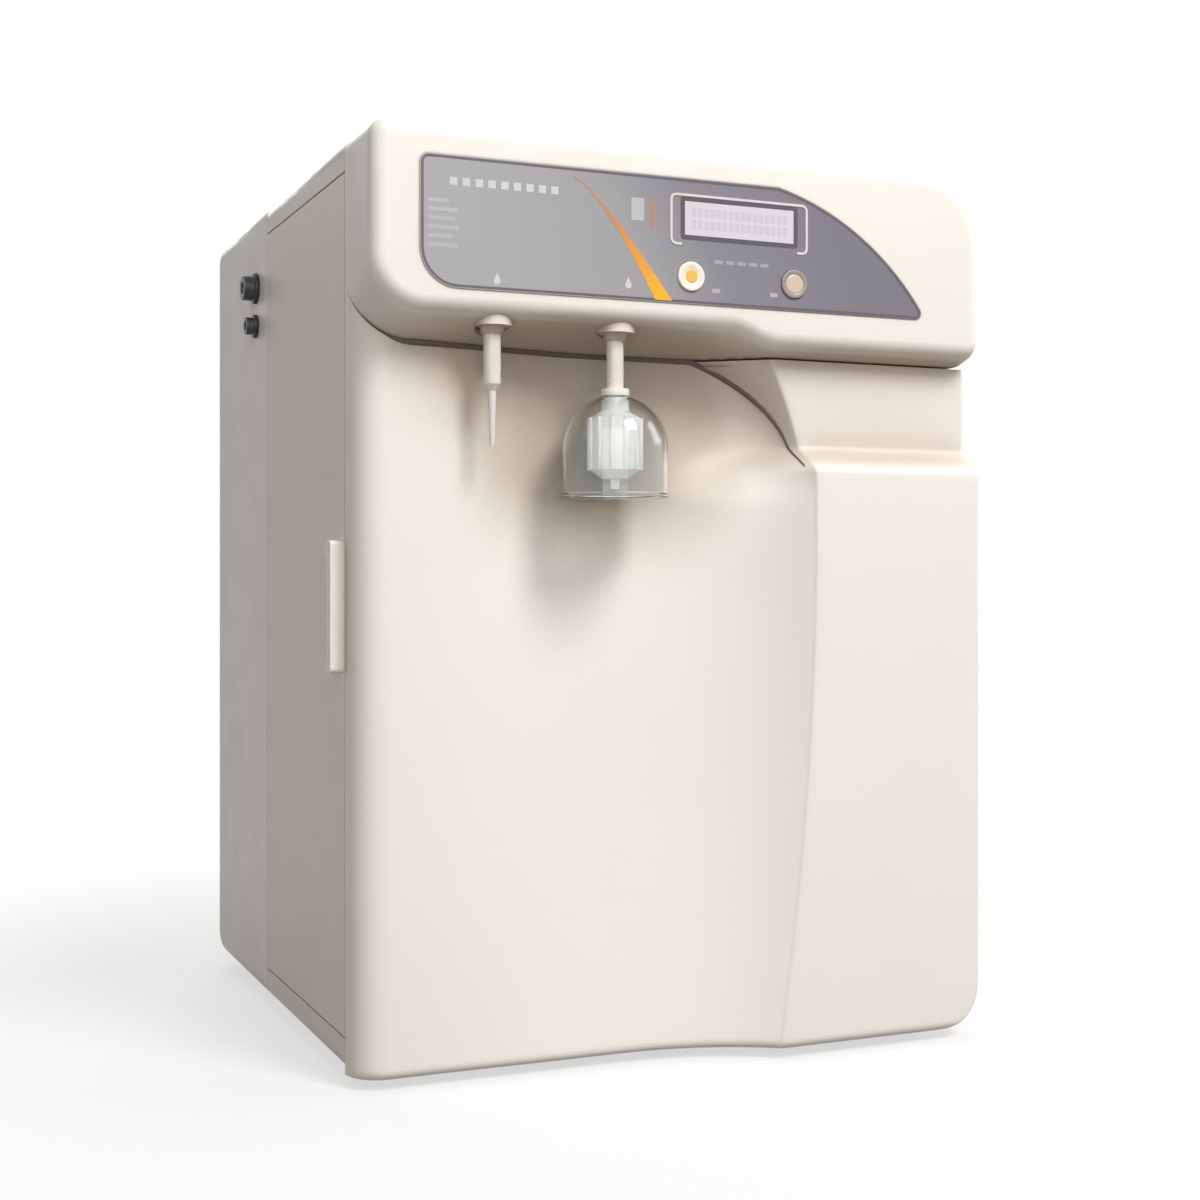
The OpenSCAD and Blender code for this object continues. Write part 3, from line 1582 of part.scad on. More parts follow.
module control_board() {
    face_w = board_w0 + board_t;
    color("seagreen") placed() {
        difference() {
            block([board_w0, face_w], board_span_d, board_span_z);
            for (p = board_holes) rod_w(p, board_w0 - over, 4, screw_r + 0.1);
        }
        for (k = [0:4]) {
            d = board_span_d[0] + 22 + terminal_pitch * k;
            block([face_w, face_w + terminal_h], around(d, terminal_half),
                around(board_span_z[1] - 14, terminal_half));
        }
        block([face_w, face_w + chip_h], around(board_span_d[0] + 43, chip_half),
            around(board_span_z[0] + 75, chip_half));
        for (k = [0:2]) {
            rod_w([board_span_d[1] - 31, board_span_z[0] + 40 + can_pitch * k], face_w, can_h,
                can_r);
        }
    }
}

module board_spacers() {
    color("white") placed() {
        for (p = board_holes) {
            rod_w(p, part_w1, board_w0 - part_w1, spacer_r);
            rod_w(p, board_w0 - 0.5, 5, screw_r - 0.1);
        }
        for (p = spacer_at) {
            rod_d(p, wall, board_d - wall, 3);
            rod_d(p, board_d - 1, 4, screw_r - 0.4);
        }
    }
}

// ---------------------------------------------------------------- inner tubing

tube_r = 3;
tube_sides = 8;
tube_steps = 5;

function spline(a, b, c, d, t) =
    0.5 * (2 * b + (c - a) * t + (2 * a - 5 * b + 4 * c - d) * t * t
        + (3 * b - a - 3 * c + d) * t * t * t);
function smooth_path(p) = concat(
    [for (i = [0:len(p) - 2]) for (k = [0:tube_steps - 1])
        spline(p[max(i - 1, 0)], p[i], p[i + 1], p[min(i + 2, len(p) - 1)], k / tube_steps)],
    [p[len(p) - 1]]);
function heading(p, i) = unit(p[min(i + 1, len(p) - 1)] - p[max(i - 1, 0)]);
function side_normals(p, i, n) =
    i == len(p) ? []
    : let (t = heading(p, i), c = unit(n - (n * t) * t)) concat([c], side_normals(p, i + 1, c));

module tube(route) {
    p = smooth_path(route);
    n = side_normals(p, 0, [0.31, 0.42, 0.85]);
    m = len(p);
    points = [for (i = [0:m - 1]) let (t = heading(p, i), v = cross(t, n[i]))
        for (k = [0:tube_sides - 1]) let (a = 360 * k / tube_sides)
            p[i] + tube_r * (cos(a) * n[i] + sin(a) * v)];
    walls = [for (i = [0:m - 2]) for (k = [0:tube_sides - 1])
        let (a = i * tube_sides + k, b = i * tube_sides + (k + 1) % tube_sides)
        each [[a, b + tube_sides, b], [a, a + tube_sides, b + tube_sides]]];
    low = [for (k = [1:tube_sides - 2]) [0, k, k + 1]];
    last = (m - 1) * tube_sides;
    high = [for (k = [1:tube_sides - 2]) [last, last + k + 1, last + k]];
    polyhedron(points, concat(walls, low, high));
}

over_part_z = chassis_top_z + 13;

// The last bend of a dispensing tube, down into a spout fitting
function spout_drop(w) =
    [[w + 2, spout_d + 4, fitting_top_z + 15], [w, spout_d, fitting_top_z + 8],
        [w, spout_d, fitting_top_z]];

module inner_tubing() {
    front = dispensing_valve_d[0];
    back = dispensing_valve_d[1];
    ro_port = ro_at + [0, ro_port_off];
    ro_port_z = ro_z + ro_h + 2.4;
    color("white") placed() {
        // From the dispensing valves over the partition to the two spout fittings
        tube(concat([[valve_w, front, valve_top_z], [valve_w, front, valve_top_z + 14],
            [part_w1, front - 9, over_part_z - 1], [part_w - 20, front - 19, over_part_z],
            [part_w - 66, front - 30, over_part_z - 18], [plain_spout_w + 18, 40, over_part_z - 31]],
            spout_drop(plain_spout_w)));
        tube(concat([[valve_w, back, valve_top_z], [valve_w, back, valve_top_z + 14],
            [part_w1 + 5, back - 20, over_part_z], [part_w - 13, back - 46, over_part_z - 3],
            [part_w - 31, back - 78, over_part_z - 21], [product_spout_w + 9, 40, over_part_z - 39]],
            spout_drop(product_spout_w)));
        // From the feed port to the feed valve
        tube([[port_in + wall, side_port_d, feed_port_z], [40, side_port_d, feed_port_z],
            [110, side_port_d + 13, feed_port_z + 8], [170, side_port_d + 38, over_part_z - 6],
            [part_w1, side_port_d + 51, over_part_z - 4], [valve_w, feed_valve_d, valve_top_z + 24],
            [valve_w, feed_valve_d, valve_top_z + 10], [valve_w, feed_valve_d, valve_top_z]]);
        // From the booster pump up to the reverse osmosis cap
        tube([[pump_port_w, pump_port_d[0], pump_port_z],
            [pump_port_w + 10, pump_port_d[0], pump_port_z + 3],
            [pump_port_w + 16, pump_port_d[0] - 5, pump_port_z + 28],
            [pump_port_w + 12, pump_port_d[0] - 24, ro_z + 100],
            [pump_port_w - 8, ro_port[1] + 24, ro_port_z - 34],
            [ro_port[0] + 22, ro_port[1] + 4, ro_port_z + 6],
            [ro_port[0] + 4, ro_port[1] + 1, ro_port_z + 11],
            [ro_port[0], ro_port[1], ro_port_z + 7], [ro_port[0], ro_port[1], ro_port_z]]);
    }
}

// ---------------------------------------------------------------- fasteners

module cover_screw(at, grip) {
    rod_d(at, front_d - grip, grip + sheet, screw_r - 0.45);
    rod_d(at, front_d + sheet, 2, screw_r + 1.6);
}

module cover_screws() {
    color("silver") placed() {
        for (p = head_boss_at) cover_screw(p, 9);
        for (p = cover_boss_at) cover_screw(p, 6);
    }
}

// ---------------------------------------------------------------- nodes

base_pan();
rubber_feet();
head_cover();
lower_cover();
wrap_cover();
rear_cover();
side_door();
door_pull();
door_hinge_leaves();
frame_hinge_leaves();
hinge_pins();
door_magnets();
front_plate();
partition();
hinge_post();
control_field();
display_frame();
display_window();
display_module();
display_board();
button_switches();
left_button();
right_button();
plain_spout_fitting();
plain_spout();
product_spout_fitting();
product_spout();
filter_bell();
filter_capsule();
feed_port();
drain_port();
port_nuts();
tank_port();
power_inlet();
fuse_drawer();
power_switch();
fan_frame();
fan_rotor();
fan_guard();
cartridge_rack();
cartridge_heads();
sediment_cartridge();
carbon_cartridge();
polishing_cartridges();
ro_housing();
ro_cap();
ro_membrane();
pipe_clips();
uv_chamber();
uv_lamp();
booster_pump();
pump_mounts();
circulation_pump();
feed_valve();
dispensing_valves();
power_supply();
control_board();
board_spacers();
inner_tubing();
cover_screws();
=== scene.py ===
"""Looks of the bench-top ultrapure water system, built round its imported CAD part."""

import math

import bmesh
import bpy
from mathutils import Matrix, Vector


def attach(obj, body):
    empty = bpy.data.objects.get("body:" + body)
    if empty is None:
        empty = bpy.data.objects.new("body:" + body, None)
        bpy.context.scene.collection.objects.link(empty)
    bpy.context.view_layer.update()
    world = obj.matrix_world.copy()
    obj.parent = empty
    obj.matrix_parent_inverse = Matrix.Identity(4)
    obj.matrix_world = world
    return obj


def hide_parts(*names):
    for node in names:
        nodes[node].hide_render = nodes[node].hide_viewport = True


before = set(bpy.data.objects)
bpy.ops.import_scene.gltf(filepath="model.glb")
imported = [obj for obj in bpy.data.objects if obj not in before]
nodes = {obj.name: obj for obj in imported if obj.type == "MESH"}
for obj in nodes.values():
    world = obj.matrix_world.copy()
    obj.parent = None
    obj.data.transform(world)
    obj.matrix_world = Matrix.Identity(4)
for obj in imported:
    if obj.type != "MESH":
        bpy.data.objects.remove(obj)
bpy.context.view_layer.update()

# ------------------------------------------------ sizes, in mm, as in the part's source

BODY_W, BODY_D, BODY_H = 395.0, 425.0, 540.0
WALL, FRONT_D, SEAM, GAP = 3.0, 55.0, 1.0, 0.3
# Radii of the cabinet's long corners, seen from the front: right foot, top right and top left
FOOT_CORNER_R, TOP_RIGHT_R, TOP_LEFT_R = 28.0, 45.0, 10.0

# Head: its lip falls by a step towards the right, and its underside runs back down to the neck
LIP_Z, LIP_STEP, STEP_W0, STEP_W1, NECK_Z = 435.0, 9.0, 220.0, 250.0, 422.0
HEAD_CORNER_R, HEAD_RIGHT_R, HEAD_EDGE_R = 30.0, 10.0, 9.0
NECK_SPAN = 6, BODY_W - 16  # widths between which the cover's top gives the neck its depth

# Lower cover: scooped bay on the left, raised panel on the right, cove under the head. Names in D are
# depths behind the front plane, in W widths from the left side, and in Z heights.
BASE_Z, COVER_TOP_Z = 6.0, NECK_Z - SEAM
BAY_LEFT_D, BAY_DEEP_D, BAY_FOOT_D, BAY_MID_W = 30.0, 51.0, 28.0, 150.0
BAY_POWER, BAY_POWER_ADD, BAY_POWER_H = 2.5, 6, 70
BAY_EDGE_R, PANEL_EDGE_R, FOOT_ROUND, LIP_ROUND, CREST_W = 20.0, 4.0, 6.0, 2.5, 8.0
CREASE_W, CREASE_T, CREASE_BOW, CREASE_TOP_Z = 277.0, 2, 26.0, 320.0
SHOULDER_Z, SHOULDER_IN, SHOULDER_H, SHOULDER_POWER = 345.0, 25.5, 80, 1.6
PANEL_D, COVE_D, COVE_Z0, COVE_Z1 = 0.5, 17.0, 352.0, 370.0
ARCH_Z0, ARCH_RISE, ARCH_POWER, ARCH_END = 330.0, 8, 2.5, 0.985
COVER_BOSSES = (40, 380), (40, 60), (330, 330), (330, 60)
COVER_BOSS_R, PILOT_R, PILOT_H = 5, 1.6, 8
# Inner skin: how far in from the sides and the ends it spreads its shift, and what it leaves at the rear
SIDE_BAND, END_BAND, FLANK_LEAST = 18, 22, 0.6

FIELD_W0, FIELD_LEN, FIELD_Z0, FIELD_H, FIELD_T = 27.0, 322.0, 448.0, 73.0, 0.6
WX0, WX1, WZ0, WZ1 = 187.55, 260.05, 488.0, 508.0  # display window
LEFT_BUTTON, RIGHT_BUTTON, BUTTON_R = (191.5, 464.0), (260.0, 464.0), 8.6

SPOUT_D, PLAIN_W, PRODUCT_W = 17.0, 75.0, 151.0
BOSS_Z0, BOSS_H, COLLAR_R, NUT_R = 433.0, 10.0, 12.0, 11.0
FITTING_R, FLANGE_R, FLANGE_T = 8.0, 9.8, 2.5
BELL_R, BELL_H, BELL_Z, BELL_WALL, BELL_CROWN = 31.0, 60.0, 335.0, 1.8, 0.52
BELL_NECK_R, BRIM_R = 7.05, 31.8

MM = 1000  # in a metre

# Middle of the row frame: the ports stand out of the left side and the rear, the brim out of the front
PORT_REACH = 10
LEFT_X = -(BODY_W - PORT_REACH) / 2
FRONT_Y = -(BODY_D + PORT_REACH - (BRIM_R - SPOUT_D)) / 2


def at(w, d, z):
    """A point of the cabinet's own millimetres as a point of the row frame in metres."""
    return Vector(((LEFT_X + w) / MM, (FRONT_Y + d) / MM, z / MM))


def clamp(v, a, b):
    return min(max(v, a), b)


def ease(t):
    return 0.5 - 0.5 * math.cos(math.pi * clamp(t, 0, 1))


def mix(a, b, t):
    return a + (b - a) * t


# ------------------------------------------------ materials


def srgb(r, g, b):
    """A colour written as 0 to 255, as linear values."""
    out = []
    for v in (r, g, b):
        v /= 255
        out.append(v / 12.92 if v <= 0.04045 else ((v + 0.055) / 1.055) ** 2.4)
    return (*out, 1.0)


NOISE_LO, NOISE_HI = 0.3, 0.7  # nearly all of a noise lies between these
HOLLOW_SHADE_Z = 0.06, 0.16  # height in metres over which the painted shade of hollows comes in
# Painted shade of hollows: how far closeness is sought, and the darker, warmer tones it gives
HOLLOW_SHADE_REACH = 0.065
HOLLOW_SHADE_TONES = [(0.3, (0.5, 0.44, 0.39, 1)), (0.72, (0.58, 0.52, 0.46, 1)),
    (0.87, (0.76, 0.71, 0.66, 1)), (0.98, (1, 1, 1, 1))]


class Tree:
    """Short ways to build a node tree."""

    def __init__(self, tree):
        self.tree = tree

    def node(self, kind, **settings):
        """New node; each setting is one of its inputs, or else one of its own properties."""
        n = self.tree.nodes.new(kind)
        for key, value in settings.items():
            if key in n.inputs:
                n.inputs[key].default_value = value
            else:
                setattr(n, key, value)
        return n

    def link(self, a, b):
        self.tree.links.new(a, b)

    def spread(self, value, lo, hi, to=(0, 1), curve="LINEAR"):
        """A value between two ends, laid out between two others."""
        n = self.node("ShaderNodeMapRange", interpolation_type=curve)
        for key, end in (("From Min", lo), ("From Max", hi), ("To Min", to[0]), ("To Max", to[1])):
            n.inputs[key].default_value = end
        self.link(value, n.inputs["Value"])
        return n.outputs["Result"]

    def blend(self, factor, a, b):
        """Shader that is a where the factor is 0 and b where it is 1."""
        n = self.node("ShaderNodeMixShader")
        for socket, value in zip(n.inputs, (factor, a, b)):
            self.link(value, socket)
        return n.outputs["Shader"]

    def seen(self):
        """One for what the camera sees, also in metal and through glass."""
        path = self.node("ShaderNodeLightPath")
        last = path.outputs["Is Camera Ray"]
        for name in ("Is Glossy Ray", "Is Transmission Ray"):
            n = self.node("ShaderNodeMath", operation="MAXIMUM")
            self.link(last, n.inputs[0])
            self.link(path.outputs[name], n.inputs[1])
            last = n.outputs[0]
        return last


class Mat(Tree):
    """A material with one principled shader, and short ways to add noise, bump and mixes."""

    def __init__(self, name, color, rough=0.5, metal=0.0):
        self.mat = bpy.data.materials.new(name)
        self.mat.use_nodes = True
        super().__init__(self.mat.node_tree)
        self.shader = self.tree.nodes["Principled BSDF"]
        self.shader.inputs["Base Color"].default_value = color
        self.shader.inputs["Roughness"].default_value = rough
        self.shader.inputs["Metallic"].default_value = metal
        self.mat.diffuse_color = color

    def coords(self):
        return self.node("ShaderNodeTexCoord").outputs["Object"]

    def noise(self, scale, detail=2.0, roughness=0.5, vector=None):
        n = self.node("ShaderNodeTexNoise", Scale=scale, Detail=detail, Roughness=roughness)
        self.link(vector if vector is not None else self.coords(), n.inputs["Vector"])
        return n.outputs["Fac"]

    def ramp(self, value, stops):
        n = self.node("ShaderNodeValToRGB")
        self.link(value, n.inputs["Fac"])
        while len(n.color_ramp.elements) < len(stops):
            n.color_ramp.elements.new(0.5)
        for e, (pos, color) in zip(n.color_ramp.elements, stops):
            e.position = pos
            e.color = color
        return n.outputs["Color"]

    def color(self, socket):
        self.link(socket, self.shader.inputs["Base Color"])
        return self

    def mottle(self, color, scale, amount, detail=3.0):
        """Base colour with a slight, slow change over the surface."""
        lo = tuple(c * (1 - amount) for c in color[:3]) + (1,)
        hi = tuple(min(c * (1 + amount), 1) for c in color[:3]) + (1,)
        return self.color(self.ramp(self.noise(scale, detail), [(NOISE_LO, lo), (NOISE_HI, hi)]))

    def paint_hollow_shade(self, reach, stops):
        """Painted shade: darker, warmer base colour in hollows above the foot, by how closed in each place
        is.
        """
        closed = self.node("ShaderNodeAmbientOcclusion", Distance=reach)
        closed.samples = 16
        tint = self.node("ShaderNodeMix", data_type="RGBA", blend_type="MULTIPLY")
        self.link(self.spread(self.axis("Z"), *HOLLOW_SHADE_Z), tint.inputs["Factor"])
        a, b = [v for v in tint.inputs if v.type == "RGBA"]
        self.link(self.shader.inputs["Base Color"].links[0].from_socket, a)
        self.link(self.ramp(closed.outputs["AO"], stops), b)
        return self.color([v for v in tint.outputs if v.type == "RGBA"][0])

    def rough(self, scale, lo, hi, detail=4.0):
        value = self.spread(self.noise(scale, detail), NOISE_LO, NOISE_HI, (lo, hi))
        self.link(value, self.shader.inputs["Roughness"])
        return self

    def bump(self, height, strength, distance):
        n = self.node("ShaderNodeBump", Strength=strength, Distance=distance)
        self.link(height, n.inputs["Height"])
        self.link(n.outputs["Normal"], self.shader.inputs["Normal"])
        return self

    def grain(self, scale, strength, distance, detail=2.0):
        return self.bump(self.noise(scale, detail), strength, distance)

    def axis(self, axis):
        n = self.node("ShaderNodeSeparateXYZ")
        self.link(self.coords(), n.inputs["Vector"])
        return n.outputs[axis]

    def maths(self, op, a, b=0.0, c=0.0):
        n = self.node("ShaderNodeMath", operation=op)
        for i, v in enumerate((a, b, c)):
            if isinstance(v, (int, float)):
                n.inputs[i].default_value = v
            else:
                self.link(v, n.inputs[i])
        return n.outputs[0]


CREAM = srgb(243, 240, 233)
# Sheet covers' cream: darker and warmer than the mouldings', partly their own paint and partly painted shade
# of the side
CREAM_SHEET_SHADED = srgb(229, 220, 209)


def moulded(name, color, hollows=True):
    """Moulded cover: a fine spark-eroded grain, a faint change of tone and painted shade in its hollows."""
    m = Mat(name, color, rough=0.42)
    m.mottle(color, 6, 0.012)
    if hollows:
        # painted shade in the hollows, from how closed in each place is
        m.paint_hollow_shade(HOLLOW_SHADE_REACH, HOLLOW_SHADE_TONES)
    m.rough(40, 0.38, 0.47)
    return m.grain(2600, 0.12, 0.00015).mat


def painted(name, color):
    """Powder paint: orange peel over sheet metal."""
    m = Mat(name, color, rough=0.4)
    m.mottle(color, 9, 0.015)
    m.rough(60, 0.38, 0.43)
    return m.grain(900, 0.05, 0.0002, 1.0).mat


def plastic(name, color, rough=0.4, grain=0.1, mottle=0.03):
    """Smaller moulded piece: fine grain and a little change in tone and gloss."""
    m = Mat(name, color, rough=rough)
    m.mottle(color, 30, mottle)
    m.rough(120, max(rough - 0.06, 0.05), rough + 0.06)
    return m.grain(2200, grain, 0.00015).mat


def steel(name, color, rough=0.32):
    """Metal with fine lines along one axis."""
    m = Mat(name, color, rough=rough, metal=1.0)
    scaled = m.node("ShaderNodeMapping", Scale=(1, 1, 60))
    m.link(m.coords(), scaled.inputs["Vector"])
    lines = m.noise(60, 6, 0.6, scaled.outputs["Vector"])
    lo = tuple(c * 0.92 for c in color[:3]) + (1,)
    m.color(m.ramp(lines, [(NOISE_LO, lo), (NOISE_HI, color)]))
    m.rough(45, rough - 0.07, rough + 0.08)
    return m.bump(lines, 0.05, 0.0002).mat


M = {
    "cover": moulded("cover_moulded", CREAM),
    # Pull: a lighter cream than the covers', without hollow shade, as painted light on its lit front face
    "pull": moulded("pull_moulded_painted_light", srgb(250, 246, 238), False),
    "rear": moulded("rear_moulded", CREAM, False),
    "paint": painted("cover_paint", CREAM_SHEET_SHADED),
    "rubber": plastic("rubber_black", srgb(38, 37, 36), 0.75, 0.3, 0.08),
    "black": plastic("plastic_black", srgb(30, 30, 31), 0.38),
    "dark": plastic("plastic_dark", srgb(52, 51, 52), 0.45),
    "white": plastic("plastic_white", srgb(226, 223, 218), 0.35),
    "spout": plastic("spout_white", srgb(228, 222, 214), 0.25, 0.05),
    "capsule": plastic("capsule_white", srgb(236, 234, 230), 0.16, 0.02, 0.01),
    "collar": plastic("collar_beige", srgb(190, 178, 164), 0.4),
    "steel": steel("zinc_plate", srgb(176, 178, 180)),
    "bright": steel("bright_wire", srgb(205, 206, 208), 0.18),
    "chamber": steel("polished_tube", srgb(196, 197, 199), 0.22),
    "magnet": plastic("magnet_brown", srgb(60, 44, 36), 0.6),
    "board": plastic("solder_resist", srgb(28, 92, 58), 0.3, 0.05, 0.1),
    "vessel": plastic("vessel_white", srgb(214, 217, 220), 0.4),
    "vessel_blue": plastic("vessel_cap", srgb(70, 110, 160), 0.35),
    "pump": plastic("pump_paint", srgb(44, 46, 50), 0.5, 0.2),
    "brass": steel("valve_brass", srgb(190, 158, 92), 0.3),
    "membrane": plastic("membrane_wrap", srgb(200, 188, 140), 0.35),
    "tube": plastic("tube_natural", srgb(206, 214, 224), 0.3, 0.03),
    "red": plastic("switch_red", srgb(168, 28, 26), 0.28),
}


# ------------------------------------------------ mesh helpers


def as_object(name, bm):
    """Turns a bmesh into an object of the scene."""
    bmesh.ops.recalc_face_normals(bm, faces=bm.faces)
    me = bpy.data.meshes.new(name)
    bm.to_mesh(me)
    bm.free()
    obj = bpy.data.objects.new(name, me)
    bpy.context.scene.collection.objects.link(obj)
    return obj


def wear(obj, *materials):
    """Puts materials in the place of those that an object has."""
    obj.data.materials.clear()
    for m in materials:
        obj.data.materials.append(m)


def finish_mesh(name, bm, *materials, angle=35.0, body="cabinet"):
    """Turns a bmesh into a piece with smooth faces and sharp edges over the given angle."""
    bmesh.ops.remove_doubles(bm, verts=bm.verts, dist=1e-7)
    obj = as_object(name, bm)
    for m in materials:
        obj.data.materials.append(m)
    smooth(obj, angle)
    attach(obj, body)
    return obj


def smooth(obj, angle):
    """Smooth shading, with the edges over the angle kept sharp."""
    me = obj.data
    me.shade_smooth()
    bm = bmesh.new()
    bm.from_mesh(me)
    limit = math.radians(angle)
    sharp = [e.index for e in bm.edges if len(e.link_faces) != 2 or e.calc_face_angle(0) > limit]
    bm.free()
    attr = me.attributes.get("sharp_edge") or me.attributes.new("sharp_edge", "BOOLEAN", "EDGE")
    for i in sharp:
        attr.data[i].value = True


def grid(bm, rows, flip=False, closed=False):
    """Faces over rows of points."""
    verts = [[bm.verts.new(p) for p in row] for row in rows]
    n = len(rows[0])
    for j in range(len(rows) - 1):
        for i in range(n if closed else n - 1):
            k = (i + 1) % n
            quad = [verts[j][i], verts[j][k], verts[j + 1][k], verts[j + 1][i]]
            if flip:
                quad.reverse()
            bm.faces.new(quad)
    return verts


def circle(sides):
    """Cosine and sine of as many equal steps round."""
    return [(math.cos(2 * math.pi * k / sides), math.sin(2 * math.pi * k / sides)) for k in range(sides)]


def lathe(bm, profile, place, sides=64, mats=None):
    """Closed solid of revolution.

    profile: (radius, height) in mm from one end to the other; place maps (x, y, height) to the row frame;
    mats: a material's number for each step of the profile.
    """
    rings = []
    for r, h in profile:
        turns = [(0, 0)] if r < 1e-6 else circle(sides)
        rings.append([bm.verts.new(place(r * x, r * y, h)) for x, y in turns])
    for j, (a, b) in enumerate(zip(rings, rings[1:])):
        if len(a) == len(b) == 1:
            continue
        for k in range(sides):
            q = (k + 1) % sides
            if len(a) == 1:
                f = bm.faces.new([a[0], b[k], b[q]])
            elif len(b) == 1:
                f = bm.faces.new([a[k], a[q], b[0]])
            else:
                f = bm.faces.new([a[k], a[q], b[q], b[k]])
            f.material_index = mats[j] if mats else 0


def rod(bm, r, h0, h1, place):
    lathe(bm, [(0, h0), (r, h0), (r, h1), (0, h1)], place)


def front_place(w, z):
    """Places a lathe at w, z with its height towards the viewer."""
    return lambda x, y, h: at(w + x, -h, z + y)


def rear_place(w, z):
    """Places a lathe at w, z with its height out of the rear."""
    return lambda x, y, h: at(w + x, BODY_D + h, z + y)


def up_place(w, d):
    """Places a lathe at w, d with its height upwards."""
    return lambda x, y, h: at(w + x, d + y, h)


def plate(bm, outline, y0, y1):
    """Flat plate over an x-z outline between depths y0 and y1, in mm."""
    a = [bm.verts.new(at(x, y0, z)) for x, z in outline]
    b = [bm.verts.new(at(x, y1, z)) for x, z in outline]
    n = len(outline)
    bm.faces.new(a)
    bm.faces.new(list(reversed(b)))
    for k in range(n):
        bm.faces.new([a[k], b[k], b[(k + 1) % n], a[(k + 1) % n]])


def ring(bm, outer, inner, y0, y1):
    """Flat ring between two outlines with the same number of points."""
    n = len(outer)
    loops = [[bm.verts.new(at(x, y, z)) for x, z in line]
        for line, y in ((outer, y1), (outer, y0), (inner, y0), (inner, y1))]
    for a, b in zip(loops, loops[1:] + loops[:1]):
        for k in range(n):
            q = (k + 1) % n
            bm.faces.new([a[k], a[q], b[q], b[k]])


def arc_points(cx, cz, r, a0, a1, n):
    """Points of an arc between two angles in degrees."""
    turns = [math.radians(mix(a0, a1, k / n)) for k in range(n + 1)]
    return [(cx + r * math.cos(a), cz + r * math.sin(a)) for a in turns]


def box_line(x0, z0, x1, z1):
    return [(x0, z0), (x1, z0), (x1, z1), (x0, z1)]


def rect(x0, z0, x1, z1, r):
    """Outline of a rectangle with rounded corners."""
    n = 5
    return (arc_points(x0 + r, z0 + r, r, 180, 270, n) + arc_points(x1 - r, z0 + r, r, 270, 360, n)
        + arc_points(x1 - r, z1 - r, r, 0, 90, n) + arc_points(x0 + r, z1 - r, r, 90, 180, n))


# ------------------------------------------------ shape of the lower cover


def outer_w(z):
    """Where the raised panel starts: a bowed crease, which leans in above the shoulder."""
    if z < SHOULDER_Z:
        return CREASE_W - CREASE_BOW * ((CREASE_TOP_Z - min(z, CREASE_TOP_Z)) / CREASE_TOP_Z) ** 2
    return CREASE_W - SHOULDER_IN * ((z - SHOULDER_Z) / SHOULDER_H) ** SHOULDER_POWER


def arch_w(z):
    """Right end of the bay under the head: a rounded arch."""
    t = clamp((z - ARCH_Z0) / (NECK_Z + ARCH_RISE - ARCH_Z0), 0, ARCH_END)
    return BAY_MID_W + (CREASE_W - CREASE_T - BAY_MID_W) * (1 - t ** ARCH_POWER) ** (1 / ARCH_POWER)


def inner_w(z):
    return min(outer_w(z) - CREASE_T, arch_w(z))


def panel_depth(z):
    return PANEL_D + COVE_D * ease((z - COVE_Z0) / (COVE_Z1 - COVE_Z0))


def bay_depth(z):
    return mix(BAY_FOOT_D, BAY_DEEP_D, 1 - (1 - clamp(z / ARCH_Z0, 0, 1)) ** 2)


def edge_depth(z):
    """Depth of the panel's rounded edge where the bay's flank meets it."""
    return panel_depth(z) + LIP_ROUND


def dish(w, z):
    """Depth of the scooped bay."""
    if w < BAY_MID_W:
        return mix(BAY_LEFT_D, bay_depth(z), ease((w - BAY_EDGE_R) / (BAY_MID_W - BAY_EDGE_R)))
    span = max(outer_w(z), CREASE_W - CREASE_BOW) - BAY_MID_W
    power = BAY_POWER + BAY_POWER_ADD * ease((z - ARCH_Z0) / BAY_POWER_H)
    return mix(bay_depth(z), edge_depth(z), ((w - BAY_MID_W) / span) ** power)


def fall(s, r):
    """How far an edge rounded by r has fallen back at a distance s from its side."""
    return 0 if s >= r else r - math.sqrt(max(r * r - (r - s) ** 2, 0))


def right_w(z):
    return BODY_W - fall(z - BASE_Z, FOOT_CORNER_R)


def face_depth(w, z):
    wi, wo = inner_w(z), outer_w(z)
    if w <= wi:
        return dish(w, z)
    if w <= wo:
        return mix(dish(wi, z), edge_depth(z), (w - wi) / (wo - wi))
    return panel_depth(z) + fall(w - wo, CREST_W) * LIP_ROUND / CREST_W


def front_depth(w, z):
    return (face_depth(w, z) + fall(w, BAY_EDGE_R) + fall(right_w(z) - w, PANEL_EDGE_R)
        + fall(z - BASE_Z, FOOT_ROUND))


def arc_steps(r, n):
    """Distances from a side that turn a rounded edge of radius r in n equal angles."""
    return [r * (1 - math.cos(math.pi / 2 * k / n)) for k in range(n + 1)]


# Heights of the rows of points, closer together at the foot and in the cove
FOOT_STEPS = (8, 11, 15, 20, 28)
ROW_Z = (
    [BASE_Z + s for s in arc_steps(FOOT_ROUND, 6)]
    + [BASE_Z + s for s in FOOT_STEPS]
    + [mix(BASE_Z + FOOT_STEPS[-1], ARCH_Z0, i / 24) for i in range(1, 25)]
    + [mix(ARCH_Z0, COVE_Z0, i / 5) for i in range(1, 6)]
    + [mix(COVE_Z0, COVE_Z1, i / 16) for i in range(1, 17)]
    + [mix(COVE_Z1, COVER_TOP_Z, 1 - (1 - i / 24) ** 1.3) for i in range(1, 25)]
)


